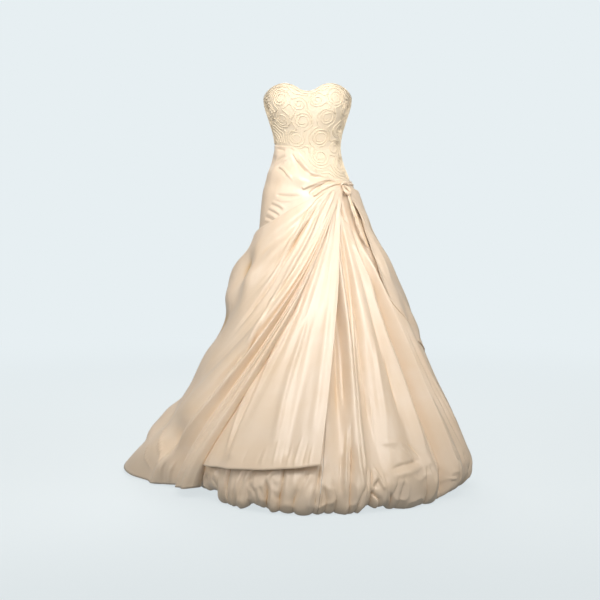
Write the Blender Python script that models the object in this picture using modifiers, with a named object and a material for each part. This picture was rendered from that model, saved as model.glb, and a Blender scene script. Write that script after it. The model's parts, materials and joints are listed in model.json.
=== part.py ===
"""Strapless party gown that keeps its worn shape with nobody in it.

A boned bodice with ribbon rosettes, a bubble-hem skirt in four gores, a smooth hip yoke, and an
overskirt that is gathered into a knot at one hip and falls to a straight flap, a swept train and
a puffed back.

Heights are metres above the floor. Azimuths are degrees round the dress from centre front,
positive towards +X. The origin is the middle of the waist, where the gown is held.
"""

import math

import bmesh
import bpy
import numpy as np
from mathutils import Vector
from mathutils.bvhtree import BVHTree

# Driving sizes, in metres
WAIST_HEIGHT = 1.12
SATIN = 0.0016
BODICE_WALL = 0.0026
SEAM_GAP = 0.0003
HIP_SEAM_HEIGHT = 1.005
SKIRT_CLEARANCE = 0.0105
KNOT_CLEARANCE = 0.0086

# Where the overskirt is gathered, on the +X side of the front
KNOT_AZIMUTH = 57.0
KNOT_HEIGHT = 1.004

# The figure and the skirt in sections: half widths on each side, depths to the front and back
SECTIONS = np.array(
    [
        # height, right, left, front, back
        (1.360, 0.134, 0.134, 0.110, 0.102),
        (1.320, 0.140, 0.140, 0.118, 0.100),
        (1.275, 0.1395, 0.1395, 0.119, 0.097),
        (1.220, 0.124, 0.124, 0.110, 0.091),
        (1.170, 0.109, 0.109, 0.096, 0.084),
        (1.120, 0.1045, 0.1045, 0.086, 0.080),
        (1.070, 0.116, 0.114, 0.095, 0.093),
        (1.005, 0.143, 0.136, 0.110, 0.118),
        (0.930, 0.170, 0.147, 0.124, 0.148),
        (0.850, 0.200, 0.154, 0.149, 0.178),
        (0.770, 0.243, 0.170, 0.178, 0.212),
        (0.690, 0.281, 0.203, 0.210, 0.246),
        (0.530, 0.350, 0.262, 0.276, 0.330),
        (0.370, 0.420, 0.316, 0.346, 0.410),
        (0.210, 0.500, 0.362, 0.426, 0.480),
        (0.100, 0.536, 0.382, 0.480, 0.505),
        (0.000, 0.536, 0.380, 0.498, 0.500),
    ]
)

# The neckline: two cups that dip between them, falling to a level back
NECKLINE = np.array(
    [
        # azimuth, height
        (0, 1.311),
        (9, 1.315),
        (22, 1.328),
        (38, 1.335),
        (52, 1.333),
        (65, 1.324),
        (80, 1.305),
        (92, 1.289),
        (112, 1.268),
        (140, 1.251),
        (180, 1.243),
    ]
)

# Bust cups, the same on each side
CUP_AZIMUTH = 35.0
CUP_HEIGHT = 1.262
CUP_WIDTH = 24.0
CUP_RISE = 0.062
CUP_DEPTH = 0.016

# Folds of the skirt, as ridges and hollows that run from the knot to the hem
SKIRT_FOLDS = (
    # hem azimuth, half width, height, starts, full, fades, ends (shares of the way down)
    (10.5, 4.6, -0.036, 0.12, 0.40, 0.62, 0.86),
    (18.5, 2.8, 0.012, 0.22, 0.50, 0.90, 1.00),
    (26.0, 5.0, -0.022, 0.04, 0.30, 0.70, 0.92),
    (36.0, 5.5, 0.008, 0.10, 0.50, 0.85, 1.00),
    (43.5, 3.2, -0.009, 0.15, 0.50, 0.80, 0.95),
    (50.0, 3.2, 0.014, 0.10, 0.50, 0.92, 1.00),
    (57.5, 3.8, -0.036, 0.06, 0.55, 0.95, 1.00),
    (66.0, 4.0, 0.013, 0.12, 0.55, 0.95, 1.00),
    (74.5, 3.4, -0.016, 0.20, 0.60, 0.92, 1.00),
    (83.0, 4.0, 0.009, 0.25, 0.60, 0.95, 1.00),
    (92.0, 4.0, -0.018, 0.25, 0.60, 0.95, 1.00),
    (101.0, 4.2, 0.009, 0.30, 0.60, 0.95, 1.00),
    (111.0, 4.5, -0.018, 0.30, 0.60, 0.95, 1.00),
    (121.0, 5.0, 0.009, 0.30, 0.60, 0.95, 1.00),
)
HEM_ROLL = (
    # height, how far inside the widest ring
    (0.150, 0.000),
    (0.095, -0.002),
    (0.050, 0.003),
    (0.018, 0.013),
    (0.000, 0.036),
    (0.016, 0.066),
    (0.050, 0.082),
)
PUFF_COUNT = 30
PUFF_HEIGHT = 0.17
PUFF_DEPTH = 0.015
PUFF_TUCK = 0.010

# The overskirt's fold lines, each from the knot to where it ends on the hem or the side seam
FLAP_GUIDES = (
    # end azimuth, end height, flare at the end, fold height
    (-66.0, 0.118, 0.002, -0.002),
    (-56.0, 0.120, 0.004, 0.001),
    (-46.0, 0.121, 0.008, 0.010),
    (-39.0, 0.123, 0.006, 0.002),
    (-33.0, 0.124, 0.009, 0.010),
    (-25.0, 0.127, 0.007, 0.003),
    (-17.0, 0.130, 0.009, 0.009),
    (-10.0, 0.133, 0.007, 0.004),
    (-4.0, 0.136, 0.009, 0.009),
    (1.0, 0.139, 0.011, 0.013),
    (4.5, 0.141, 0.012, 0.018),
)
TRAIN_GUIDES = (
    (-58.5, 0.128, 0.012, 0.004),
    (-62.0, 0.112, 0.022, 0.024),
    (-68.0, 0.082, 0.026, 0.030),
    (-76.0, 0.048, 0.030, 0.010),
    (-84.0, 0.010, 0.042, 0.018),
    (-89.0, 0.004, 0.100, 0.032),
    (-95.0, 0.004, 0.150, 0.010),
    (-102.0, 0.006, 0.205, 0.024),
    (-110.0, 0.010, 0.260, 0.022),
    (-117.0, 0.022, 0.290, 0.012),
)
BACK_GUIDES = (
    (131.0, 0.030, 0.020, 0.016),
    (137.0, 0.016, 0.050, 0.004),
    (144.0, 0.010, 0.080, 0.026),
    (152.0, 0.008, 0.090, 0.006),
    (160.0, 0.006, 0.105, 0.030),
    (169.0, 0.006, 0.112, 0.008),
    (178.0, 0.006, 0.130, 0.034),
    (188.0, 0.006, 0.148, 0.010),
    (198.0, 0.006, 0.175, 0.034),
    (208.0, 0.006, 0.200, 0.010),
    (218.0, 0.008, 0.235, 0.036),
    (228.0, 0.012, 0.262, 0.016),
)
SIDE_SEAM_GUIDES = (
    # the same columns, for the seam between the train and the back, from the hem upwards
    (-122.0, 0.052, 0.275, 0.010),
    (-123.0, 0.150, 0.190, 0.014),
    (-123.0, 0.260, 0.110, 0.012),
    (-123.0, 0.370, 0.060, 0.010),
    (-122.0, 0.480, 0.030, 0.022),
    (-121.0, 0.580, 0.020, 0.012),
    (-120.0, 0.670, 0.014, 0.018),
    (-118.0, 0.735, 0.008, 0.010),
    (-116.0, 0.785, 0.004, 0.004),
)
FLARE_POWER = 5.0
FAN_SPREAD = 2.25
SEAM_COLUMNS = 13

# Where the overskirt puffs out at the left hip and behind the train
SWELLS = (
    # azimuth, half width, height, half height, depth
    (-115.0, 34.0, 0.700, 0.085, 0.026),
    (-118.0, 32.0, 0.410, 0.065, 0.006),
    (-114.0, 14.0, 0.190, 0.062, 0.040),
)
YOKE_EDGES = np.array(
    [
        # azimuth, height of the top, height of the foot
        (-180, 1.092, 0.800),
        (-130, 1.112, 0.800),
        (-85, 1.136, 0.800),
        (-55, 1.134, 0.800),
        (-20, 1.120, 0.800),
        (-2, 1.088, 0.830),
        (14, 1.052, 0.890),
        (34, 1.031, 0.956),
        (52, 1.022, 0.985),
        (75, 1.018, 0.985),
        (100, 1.022, 0.965),
        (150, 1.066, 0.840),
        (180, 1.092, 0.800),
    ]
)
YOKE_LIFT = 0.0036
YOKE_SEAM_LIFT = 0.0018
YOKE_FOLDS = (
    # share of the way from the top edge to the foot, half width, height
    (0.08, 0.04, 0.0026),
    (0.15, 0.05, -0.0020),
    (0.26, 0.06, 0.0045),
    (0.38, 0.05, -0.0020),
)

# The knot: a ring of cloth, a band over it, and the ragged end that hangs from it
KNOT_LIFT = 0.0190
RING_TILT = 0.0066
RING_HALF_WIDTH = 0.0105
RING_HALF_HEIGHT = 0.0150
RING_TUBE = 0.0052
BAND_SPAN = 0.038
BAND_TUBE = 0.0048
BAND_LIFT = 0.0176
TAIL_LINE = (
    # azimuth, height, lift, half width
    (55.6, 0.9728, 0.0258, 0.0038),
    (56.6, 0.945, 0.0270, 0.0070),
    (58.0, 0.905, 0.027, 0.0085),
    (60.0, 0.870, 0.024, 0.0095),
    (61.5, 0.835, 0.021, 0.0080),
    (62.5, 0.806, 0.019, 0.0030),
)

# Covered buttons down the centre back
BUTTON_RADIUS = 0.0058
BUTTON_RISE = 0.0052
BUTTON_COUNT = 9
BUTTON_TOP = 1.228
BUTTON_STEP = 0.0150
BUTTON_AZIMUTH = 175.0

# Ribbon rosettes on the bodice: one row for each
RIBBON_RISE = 0.0034
RIBBON_WALL = 0.0013
RIBBON_PITCH = 0.0086
RIBBON_STEP = 0.0084
RIBBON_GAP = 0.0009
ROSETTES = (
    # azimuth, height, radius, turns, first angle
    (-38, 1.286, 0.026, 1.9, 20),
    (-12, 1.268, 0.018, 1.5, 200),
    (14, 1.282, 0.018, 1.6, 80),
    (40, 1.290, 0.026, 1.9, 150),
    (64, 1.250, 0.022, 1.6, 300),
    (-64, 1.246, 0.022, 1.6, 240),
    (-40, 1.222, 0.022, 1.7, 120),
    (-8, 1.216, 0.027, 2.0, 330),
    (30, 1.226, 0.025, 1.9, 30),
    (60, 1.190, 0.020, 1.5, 190),
    (24, 1.162, 0.030, 2.1, 260),
    (-22, 1.160, 0.022, 1.6, 60),
    (58, 1.128, 0.022, 1.6, 10),
    (26, 1.100, 0.024, 1.7, 110),
    (66, 1.072, 0.022, 1.6, 290),
    (118, 1.185, 0.026, 1.5, 70),
    (-118, 1.185, 0.026, 1.5, 250),
)


def curve_through(keys, values, at):
    """Smooth values at some places, on a curve through a table's rows."""
    keys = np.asarray(keys, float)
    values = np.asarray(values, float)
    at = np.clip(at, keys[0], keys[-1])
    slopes = np.gradient(values, keys, axis=0)
    row = np.clip(np.searchsorted(keys, at, side="right") - 1, 0, len(keys) - 2)
    width = keys[row + 1] - keys[row]
    t = (at - keys[row]) / width
    if values.ndim > 1:
        t, width = t[..., None], width[..., None]
    rise = t * t * (3 - 2 * t)
    return (
        values[row] * (1 - rise)
        + values[row + 1] * rise
        + slopes[row] * width * t * (1 - t) ** 2
        - slopes[row + 1] * width * t * t * (1 - t)
    )


def smoothstep(low, high, at):
    t = np.clip((at - low) / (high - low), 0, 1)
    return t * t * (3 - 2 * t)


def bump(distance):
    """A rounded ridge, 1 at its crest and gone by 2.5 half widths."""
    return np.exp(-(distance**2))


def section_radius(azimuth, height):
    """Radius of the gown's smooth form, each quarter of a section being part of an ellipse."""
    sizes = curve_through(SECTIONS[::-1, 0], SECTIONS[::-1, 1:], height)
    right, left, front, back = np.moveaxis(sizes, -1, 0)
    angle = np.radians(azimuth)
    across = np.where(np.sin(angle) >= 0, right, left)
    along = np.where(np.cos(angle) >= 0, front, back)
    return 1 / np.sqrt((np.sin(angle) / across) ** 2 + (np.cos(angle) / along) ** 2)


def cup_rise(azimuth, height):
    side = (np.abs(azimuth) - CUP_AZIMUTH) / CUP_WIDTH
    level = (height - CUP_HEIGHT) / CUP_RISE
    return CUP_DEPTH * np.exp(-(side**2) - level**2)


def point_at(azimuth, height, radius):
    angle = np.radians(azimuth)
    return np.stack(
        [radius * np.sin(angle), -radius * np.cos(angle), height - WAIST_HEIGHT], axis=-1
    )


def material(name, colour, roughness, metallic=0.0):
    made = bpy.data.materials.get(name) or bpy.data.materials.new(name)
    made.use_nodes = True
    shader = made.node_tree.nodes["Principled BSDF"]
    shader.inputs["Base Color"].default_value = (*colour, 1.0)
    shader.inputs["Roughness"].default_value = roughness
    shader.inputs["Metallic"].default_value = metallic
    return made


def satin():
    return material("ivory_satin", (0.80, 0.69, 0.54), 0.38)


def bodice_cloth():
    return material("cream_bodice_cloth", (0.86, 0.78, 0.60), 0.6)


def ribbon():
    return material("cream_ribbon", (0.88, 0.80, 0.63), 0.5)


def button_satin():
    return material("covered_button_satin", (0.82, 0.72, 0.56), 0.35)


def link(obj):
    bpy.data.collections["party_dress"].objects.link(obj)
    return obj


def sheet(name, points, thickness, look):
    """A panel of cloth: a grid of points, given its thickness outwards."""
    rows, columns = points.shape[:2]
    mesh = bpy.data.meshes.new(name)
    shaping = bmesh.new()
    grid = [[shaping.verts.new(points[r, c]) for c in range(columns)] for r in range(rows)]
    for r in range(rows - 1):
        for c in range(columns - 1):
            shaping.faces.new((grid[r][c], grid[r + 1][c], grid[r + 1][c + 1], grid[r][c + 1]))
    shaping.to_mesh(mesh)
    shaping.free()
    mesh.materials.append(look)
    mesh.shade_smooth()
    wall = link(bpy.data.objects.new(name, mesh))
    solidify = wall.modifiers.new("wall", "SOLIDIFY")
    solidify.thickness = thickness
    solidify.offset = 1.0
    return wall


def tube(name, rings, look):
    """A closed solid through rings of points, each with as many points, ends filled."""
    count = len(rings[0])
    mesh = bpy.data.meshes.new(name)
    shaping = bmesh.new()
    made = [[shaping.verts.new(point) for point in ring] for ring in rings]
    for low, high in zip(made, made[1:]):
        for k in range(count):
            n = (k + 1) % count
            shaping.faces.new((low[k], low[n], high[n], high[k]))
    shaping.faces.new(made[0][::-1])
    shaping.faces.new(made[-1])
    bmesh.ops.recalc_face_normals(shaping, faces=shaping.faces)
    shaping.to_mesh(mesh)
    shaping.free()
    mesh.materials.append(look)
    return link(bpy.data.objects.new(name, mesh))


def seam_angle(radius):
    """Half a seam gap, in degrees at that radius."""
    return math.degrees(SEAM_GAP / 2 / radius)


def bodice_points(azimuths, rows):
    """A bodice panel from the hip seam up to the neckline."""
    top = curve_through(NECKLINE[:, 0], NECKLINE[:, 1], np.abs(azimuths))
    foot = HIP_SEAM_HEIGHT + SEAM_GAP / 2
    share = np.linspace(1, 0, rows)[:, None]
    height = foot + (top - foot)[None, :] * share
    azimuth = np.broadcast_to(azimuths, height.shape)
    radius = section_radius(azimuth, height) + cup_rise(azimuth, height)
    return point_at(azimuth, height, radius)


def bodice_panels():
    gap = seam_angle(0.1)
    spans = (
        ("bodice_front", -90, 90, 28),
        ("bodice_back_right", 90, 180, 11),
        ("bodice_back_left", -180, -90, 11),
    )
    return {
        name: sheet(
            name,
            bodice_points(np.linspace(low + gap, high - gap, columns), 12),
            BODICE_WALL,
            bodice_cloth(),
        )
        for name, low, high, columns in spans
    }


def fan_share(share):
    return FAN_SPREAD * share / (1 + (FAN_SPREAD - 1) * share)


def gathered_azimuth(hem_azimuth, share):
    """Where a skirt fold lies, part of the way down: folds draw together under the knot."""
    swing = math.degrees(0.72) * np.sin(np.radians(hem_azimuth - KNOT_AZIMUTH))
    return hem_azimuth - swing * (1 - fan_share(share))


def puff_edges():
    """Azimuths of the tucks in the bubble hem, and the height of the puffs between them."""
    chance = np.random.default_rng(7)
    widths = 1 + 0.45 * chance.uniform(-1, 1, PUFF_COUNT)
    edges = np.concatenate([[0], np.cumsum(widths)]) / widths.sum() * 360 - 180
    return edges, chance.uniform(0.55, 1.0, PUFF_COUNT)


def puff_fullness(hem_azimuth):
    """How full the bubble hem is: 0 at its tucks, up to 1 between them."""
    edges, heights = puff_edges()
    around = (np.asarray(hem_azimuth) + 180) % 360 - 180
    puff = np.clip(np.searchsorted(edges, around, side="right") - 1, 0, PUFF_COUNT - 1)
    share = (around - edges[puff]) / (edges[puff + 1] - edges[puff])
    return np.sqrt(np.clip(4 * share * (1 - share), 0, 1)) * heights[puff]


def puff_middle(near):
    """Azimuth of the middle of the puff that is nearest to an azimuth."""
    edges, _ = puff_edges()
    middles = (edges[:-1] + edges[1:]) / 2
    away = (middles - near + 180) % 360 - 180
    return near + away[np.argmin(np.abs(away))]


def puff_rise(hem_azimuth, height):
    fade = 1 - smoothstep(0.04, PUFF_HEIGHT, height)
    return PUFF_DEPTH * (puff_fullness(hem_azimuth) - 0.6) * fade


def skirt_fold_rise(hem_azimuth, share):
    total = np.zeros(np.broadcast(hem_azimuth, share).shape)
    for azimuth, half_width, height, starts, full, fades, ends in SKIRT_FOLDS:
        along = smoothstep(starts, full, share) * (1 - 0.75 * smoothstep(fades, ends, share))
        total += height * bump((hem_azimuth - azimuth) / half_width) * along
    return total


def skirt_rows():
    """(height, how far inside the widest ring) down the skirt and round its rolled hem."""
    upper = (HIP_SEAM_HEIGHT - 2 * SEAM_GAP, 0.94, 0.86, 0.76, 0.65, 0.54, 0.43, 0.32, 0.23)
    return np.array([(height, 0.0) for height in upper] + list(HEM_ROLL))


def skirt_points(hem_azimuths):
    """A gore, its side edges each half a seam inside the azimuths given."""
    rows = skirt_rows()
    height, inside = rows[:, :1], rows[:, 1:]
    share = np.clip((HIP_SEAM_HEIGHT - height) / HIP_SEAM_HEIGHT, 0, 1)
    share = np.maximum.accumulate(share, axis=0)
    azimuth = gathered_azimuth(hem_azimuths[None, :], share)
    edge = np.degrees(SEAM_GAP / section_radius(azimuth[:, 0], height[:, 0]))
    azimuth[:, 0] += edge
    azimuth[:, -1] -= edge
    hem = np.broadcast_to(hem_azimuths, azimuth.shape)
    level = np.broadcast_to(height, azimuth.shape)
    rise = skirt_fold_rise(hem, np.broadcast_to(share, azimuth.shape)) + puff_rise(hem, level)
    radius = section_radius(azimuth, level) - inside + rise
    tucked = PUFF_TUCK * (1 - puff_fullness(hem)) * (1 - smoothstep(0.0, 0.12, level))
    return point_at(azimuth, level + tucked, radius)


def skirt_gores():
    """Four gores, close columns where the skirt shows and wide ones under the overskirt."""
    seams = [puff_middle(azimuth) for azimuth in (-90, 0, 90, 180)]
    spans = (
        ("skirt_front_left", seams[0], seams[1], 19),
        ("skirt_front_right", seams[1], seams[2], 37),
        ("skirt_back_right", seams[2], seams[3], 16),
        ("skirt_back_left", seams[3], seams[0] + 360, 12),
    )
    return [
        sheet(name, skirt_points(np.linspace(low, high, columns)), SATIN, satin())
        for name, low, high, columns in spans
    ]


def turned(azimuth):
    """A measure of azimuth that makes fold lines look straight from the front."""
    bend = 60.0
    beyond = np.radians(np.clip(np.abs(azimuth) - bend, 0, None))
    inner = np.sin(np.radians(np.clip(azimuth, -bend, bend)))
    return inner + np.sign(azimuth) * beyond * math.cos(math.radians(bend))


def turned_back(measure):
    bend = 60.0
    limit = math.sin(math.radians(bend))
    inner = np.degrees(np.arcsin(np.clip(measure, -limit, limit)))
    beyond = np.degrees(np.clip(np.abs(measure) - limit, 0, None) / math.cos(math.radians(bend)))
    return inner + np.sign(measure) * beyond


def swell_rise(azimuth, height):
    """Where the overskirt puffs out: full in the middle and tucked in all round."""
    total = 0.0
    for middle, half_width, level, half_height, depth in SWELLS:
        side = ((azimuth - middle + 180) % 360 - 180) / half_width
        total = total + depth * np.exp(-(((height - level) / half_height) ** 4) - side**4)
    return total


def guide_ends(tables):
    """Where each column of a fan ends. Each table is a smooth run, with corners between runs."""
    runs = []
    for rows, columns in tables:
        rows = np.array(rows, float)
        place = np.linspace(0, len(rows) - 1, columns)
        runs.append(curve_through(np.arange(len(rows)), rows, place)[1 if runs else 0 :])
    return np.concatenate(runs).T


def fan_points(tables, shares, start, lift):
    """A panel that fans out of the knot, through fold lines that end as its tables say."""
    end_azimuth, end_height, flare, fold = guide_ends(tables)
    share = np.asarray(shares, float)[:, None]
    spread = fan_share(share)
    measure = turned(KNOT_AZIMUTH) * (1 - spread) + turned(end_azimuth)[None, :] * spread
    azimuth = turned_back(measure)
    height = KNOT_HEIGHT + (end_height[None, :] - KNOT_HEIGHT) * share
    rise = flare[None, :] * share**FLARE_POWER + fold[None, :] * smoothstep(0.04, 0.45, share)
    rise = rise + swell_rise(azimuth, height)
    clear = KNOT_CLEARANCE + start
    clear = clear + (SKIRT_CLEARANCE + lift - clear) * smoothstep(0.02, 0.09, share)
    return point_at(azimuth, height, section_radius(azimuth, height) + clear + rise)


def overskirt():
    shares = np.array([0.013, 0.045, 0.085, 0.14, 0.22, 0.31, 0.40, 0.50, 0.60, 0.70, 0.80, 0.90, 1.0])
    gap = seam_angle(0.05)
    seam = np.array(SIDE_SEAM_GUIDES, float)
    left_seam = seam + (gap, 0, 0, 0)
    back_seam = seam + (360 - gap, 0, 0, 0)
    train = [((*TRAIN_GUIDES, left_seam[0]), 20), (left_seam, SEAM_COLUMNS)]
    back = [((*BACK_GUIDES, back_seam[0]), 22), (back_seam, SEAM_COLUMNS)]
    flap = fan_points([(FLAP_GUIDES, 23)], shares, 0.0, 0.0)
    train = fan_points(train, shares, 0.0030, 0.007)
    back = fan_points(back, shares, 0.0016, 0.007)
    return [
        sheet("front_flap", flap, SATIN, satin()),
        sheet("train_drape", train[:, ::-1], SATIN, satin()),
        sheet("back_drape", back[:, ::-1], SATIN, satin()),
    ]


def yoke_points(azimuths, rows):
    edges = curve_through(YOKE_EDGES[:, 0], YOKE_EDGES[:, 1:], azimuths)
    top, foot = edges.T
    share = np.linspace(0, 1, rows)[:, None]
    height = top[None, :] + (foot - top)[None, :] * share
    azimuth = np.broadcast_to(azimuths, height.shape)
    rise = sum(size * bump((share - at) / wide) for at, wide, size in YOKE_FOLDS)
    shown = smoothstep(-110, -60, azimuth) * (1 - smoothstep(70, 110, azimuth))
    lift = YOKE_SEAM_LIFT + (YOKE_LIFT - YOKE_SEAM_LIFT) * smoothstep(0, 0.14, share)
    radius = section_radius(azimuth, height) + BODICE_WALL + lift + rise * shown
    return point_at(azimuth, height, radius)


def hip_yoke():
    gap = seam_angle(0.14)
    spans = (
        ("hip_yoke_front", -90, 90, 19, 13),
        ("hip_yoke_back_left", -180, -90, 8, 7),
        ("hip_yoke_back_right", 90, 180, 8, 7),
    )
    return [
        sheet(name, yoke_points(np.linspace(low + gap, high - gap, columns), rows), SATIN, satin())
        for name, low, high, columns, rows in spans
    ]


def surface_frame(azimuth, height, lift):
    """A point over the gown's form, with the way round it, up it and out from it."""
    here = Vector(point_at(azimuth, height, section_radius(azimuth, height) + lift))
    aside = Vector(point_at(azimuth + 0.5, height, section_radius(azimuth + 0.5, height) + lift))
    above = Vector(point_at(azimuth, height + 0.002, section_radius(azimuth, height + 0.002) + lift))
    around = (aside - here).normalized()
    up = (above - here).normalized()
    return here, around, up, around.cross(up).normalized()


def bodice_surface(panels):
    """The outside of the finished bodice, for laying ribbons and buttons on it."""
    found = bmesh.new()
    depsgraph = bpy.context.evaluated_depsgraph_get()
    for panel in panels.values():
        found.from_object(panel, depsgraph)
    surface = BVHTree.FromBMesh(found)
    found.free()
    return surface


def laid_on(surface, azimuth, height):
    """A point on the outside of the bodice and the way out from it."""
    angle = math.radians(azimuth)
    out = Vector((math.sin(angle), -math.cos(angle), 0))
    start = out * 0.4 + Vector((0, 0, height - WAIST_HEIGHT))
    point, normal, _, _ = surface.ray_cast(start, -out)
    return point, normal


def spiral(azimuth, height, radius, turns, first):
    """A rosette's line, as (azimuth, height), wound inwards on the bodice."""
    length = math.pi * turns * (2 * radius - turns * RIBBON_PITCH)
    steps = max(8, round(length / RIBBON_STEP))
    scale = math.degrees(1 / float(section_radius(azimuth, height)))
    for step in range(steps + 1):
        share = step / steps
        reach = radius - RIBBON_PITCH * turns * share
        angle = math.radians(first + 360 * turns * share)
        yield (
            azimuth + scale * reach * math.cos(angle),
            height + reach * math.sin(angle),
        )


def ribbon_strip(name, surface, line):
    """A ribbon standing on its edge along a line on the bodice."""
    spots = [laid_on(surface, azimuth, height) for azimuth, height in line]
    rings = []
    for step, (point, normal) in enumerate(spots):
        before = spots[max(step - 1, 0)][0]
        after = spots[min(step + 1, len(spots) - 1)][0]
        across = (after - before).cross(normal).normalized() * (RIBBON_WALL / 2)
        low = point + normal * RIBBON_GAP
        high = low + normal * RIBBON_RISE
        rings.append([low - across, low + across, high + across, high - across])
    return tube(name, rings, ribbon())


def rosettes(surface):
    for number, (azimuth, height, radius, turns, first) in enumerate(ROSETTES, 1):
        line = spiral(azimuth, height, radius, turns, first)
        ribbon_strip(f"rosette_{number:02d}", surface, line)


def knot_ring():
    """A ring of gathered cloth with an open middle."""
    centre, around, up, out = surface_frame(KNOT_AZIMUTH, KNOT_HEIGHT - 0.012, KNOT_LIFT)
    mesh = bpy.data.meshes.new("knot_ring")
    shaping = bmesh.new()
    rings = []
    for step in range(18):
        angle = 2 * math.pi * step / 18
        away = around * math.cos(angle) + up * math.sin(angle)
        middle = (
            centre
            + around * (RING_HALF_WIDTH * math.cos(angle))
            + up * (RING_HALF_HEIGHT * math.sin(angle))
            - out * (RING_TILT * math.sin(angle))
        )
        size = RING_TUBE * (1 - 0.25 * math.sin(angle))
        ring = []
        for corner in range(8):
            turn = 2 * math.pi * corner / 8
            ring.append(
                shaping.verts.new(middle + away * (size * math.cos(turn)) + out * (size * math.sin(turn)))
            )
        rings.append(ring)
    for step in range(18):
        low, high = rings[step], rings[(step + 1) % 18]
        for corner in range(8):
            after = (corner + 1) % 8
            shaping.faces.new((low[corner], low[after], high[after], high[corner]))
    bmesh.ops.recalc_face_normals(shaping, faces=shaping.faces)
    shaping.to_mesh(mesh)
    shaping.free()
    mesh.materials.append(satin())
    return link(bpy.data.objects.new("knot_ring", mesh))


def knot_band():
    """The gathered roll of cloth that the ring hangs from."""
    rings = []
    for step in range(8):
        along = 2 * step / 7 - 1
        turn_by = math.degrees(along * BAND_SPAN / 2 / 0.14)
        height = KNOT_HEIGHT + 0.0106 - 0.008 * along**2
        centre, around, up, out = surface_frame(KNOT_AZIMUTH + turn_by, height, BAND_LIFT)
        size = BAND_TUBE * (1 - 0.35 * abs(along) + 0.12 * math.cos(3 * math.pi * along))
        ring = []
        for corner in range(7):
            turn = 2 * math.pi * corner / 7
            ring.append(centre + up * (size * math.cos(turn)) + out * (size * math.sin(turn)))
        rings.append(ring)
    return tube("knot_band", rings, satin())


def knot_tail():
    """The ragged end that hangs from the knot, as a folded strip."""
    table = np.array(TAIL_LINE)
    place = np.linspace(0, len(table) - 1, 11)
    rings = []
    for step, (azimuth, height, lift, half_width) in enumerate(
        curve_through(np.arange(len(table)), table, place)
    ):
        centre, around, up, out = surface_frame(azimuth, height, lift)
        ragged = 1 + 0.18 * math.sin(2.4 * step)
        thick = 0.0022
        rings.append(
            [
                centre - around * half_width * ragged - out * 0.002,
                centre + out * (half_width * 0.55),
                centre + around * half_width * ragged - out * 0.001,
                centre + around * half_width * ragged * 0.9 - out * (0.001 + thick),
                centre + out * (half_width * 0.55 - thick),
                centre - around * half_width * ragged * 0.9 - out * (0.002 + thick),
            ]
        )
    return tube("knot_tail", rings, satin())


def buttons(surface):
    """Covered buttons that close the centre back, each a shallow dome with a flat underside."""
    for number in range(BUTTON_COUNT):
        height = BUTTON_TOP - BUTTON_STEP * number
        point, normal = laid_on(surface, BUTTON_AZIMUTH, height)
        base = point + normal * 0.0007
        around = Vector((0, 0, 1)).cross(normal).normalized()
        up = normal.cross(around)
        rings = []
        for size, rise in ((0.86, 0.0), (1.0, 0.3), (0.82, 0.75), (0.42, 1.0)):
            ring = []
            for corner in range(10):
                turn = 2 * math.pi * corner / 10
                away = around * math.cos(turn) + up * math.sin(turn)
                ring.append(base + away * (BUTTON_RADIUS * size) + normal * (BUTTON_RISE * rise))
            rings.append(ring)
        tube(f"back_button_{number + 1}", rings, button_satin())


def main():
    for obj in list(bpy.data.objects):
        bpy.data.objects.remove(obj)
    gown = bpy.data.collections.new("party_dress")
    bpy.context.scene.collection.children.link(gown)
    panels = bodice_panels()
    skirt_gores()
    hip_yoke()
    overskirt()
    surface = bodice_surface(panels)
    rosettes(surface)
    buttons(surface)
    knot_ring()
    knot_band()
    knot_tail()


if __name__ == "__main__":
    main()
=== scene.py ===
"""Looks of a strapless satin party gown, laid over its CAD solids.

Each cloth panel is a thin shell on its solid's form, with close rows, creases from tables and fine
ripples. Heights are metres above the floor and azimuths are degrees round the gown from centre
front, positive towards +X. The origin is the middle of the waist.
"""

import json
import math

import bmesh
import bpy
import numpy as np
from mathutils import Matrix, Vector

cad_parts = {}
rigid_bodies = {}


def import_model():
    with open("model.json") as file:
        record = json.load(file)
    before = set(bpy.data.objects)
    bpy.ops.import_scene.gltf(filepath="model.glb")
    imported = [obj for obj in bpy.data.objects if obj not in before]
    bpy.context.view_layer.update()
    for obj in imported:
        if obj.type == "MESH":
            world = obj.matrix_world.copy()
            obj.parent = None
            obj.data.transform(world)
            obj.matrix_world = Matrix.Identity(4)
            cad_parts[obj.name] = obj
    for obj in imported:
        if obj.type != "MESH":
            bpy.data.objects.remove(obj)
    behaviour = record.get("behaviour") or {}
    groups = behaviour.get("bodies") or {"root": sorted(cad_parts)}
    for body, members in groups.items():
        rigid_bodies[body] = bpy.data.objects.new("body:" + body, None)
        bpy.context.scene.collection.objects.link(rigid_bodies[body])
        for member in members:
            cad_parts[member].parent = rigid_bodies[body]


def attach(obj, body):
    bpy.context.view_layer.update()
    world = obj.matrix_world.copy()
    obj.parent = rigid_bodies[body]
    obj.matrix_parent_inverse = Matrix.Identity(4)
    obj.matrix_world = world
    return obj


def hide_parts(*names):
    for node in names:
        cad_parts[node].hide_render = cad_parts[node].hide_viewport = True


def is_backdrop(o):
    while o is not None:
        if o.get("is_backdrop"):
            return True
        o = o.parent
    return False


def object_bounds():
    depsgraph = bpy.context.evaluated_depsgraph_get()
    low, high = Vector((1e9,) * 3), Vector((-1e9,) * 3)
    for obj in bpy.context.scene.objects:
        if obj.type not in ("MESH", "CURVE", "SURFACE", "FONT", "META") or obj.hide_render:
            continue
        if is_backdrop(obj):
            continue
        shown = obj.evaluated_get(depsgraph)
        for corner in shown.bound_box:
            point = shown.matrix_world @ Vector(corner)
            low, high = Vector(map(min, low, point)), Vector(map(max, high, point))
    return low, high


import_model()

bl_info = {
    "name": "Party gown",
    "version": (1, 0, 0),
    "blender": (4, 5, 0),
    "location": "View3D > Sidebar > Gown",
    "description": "Dresses the gown's solids in satin, ribbon applique and covered buttons",
    "category": "Object",
}


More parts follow.
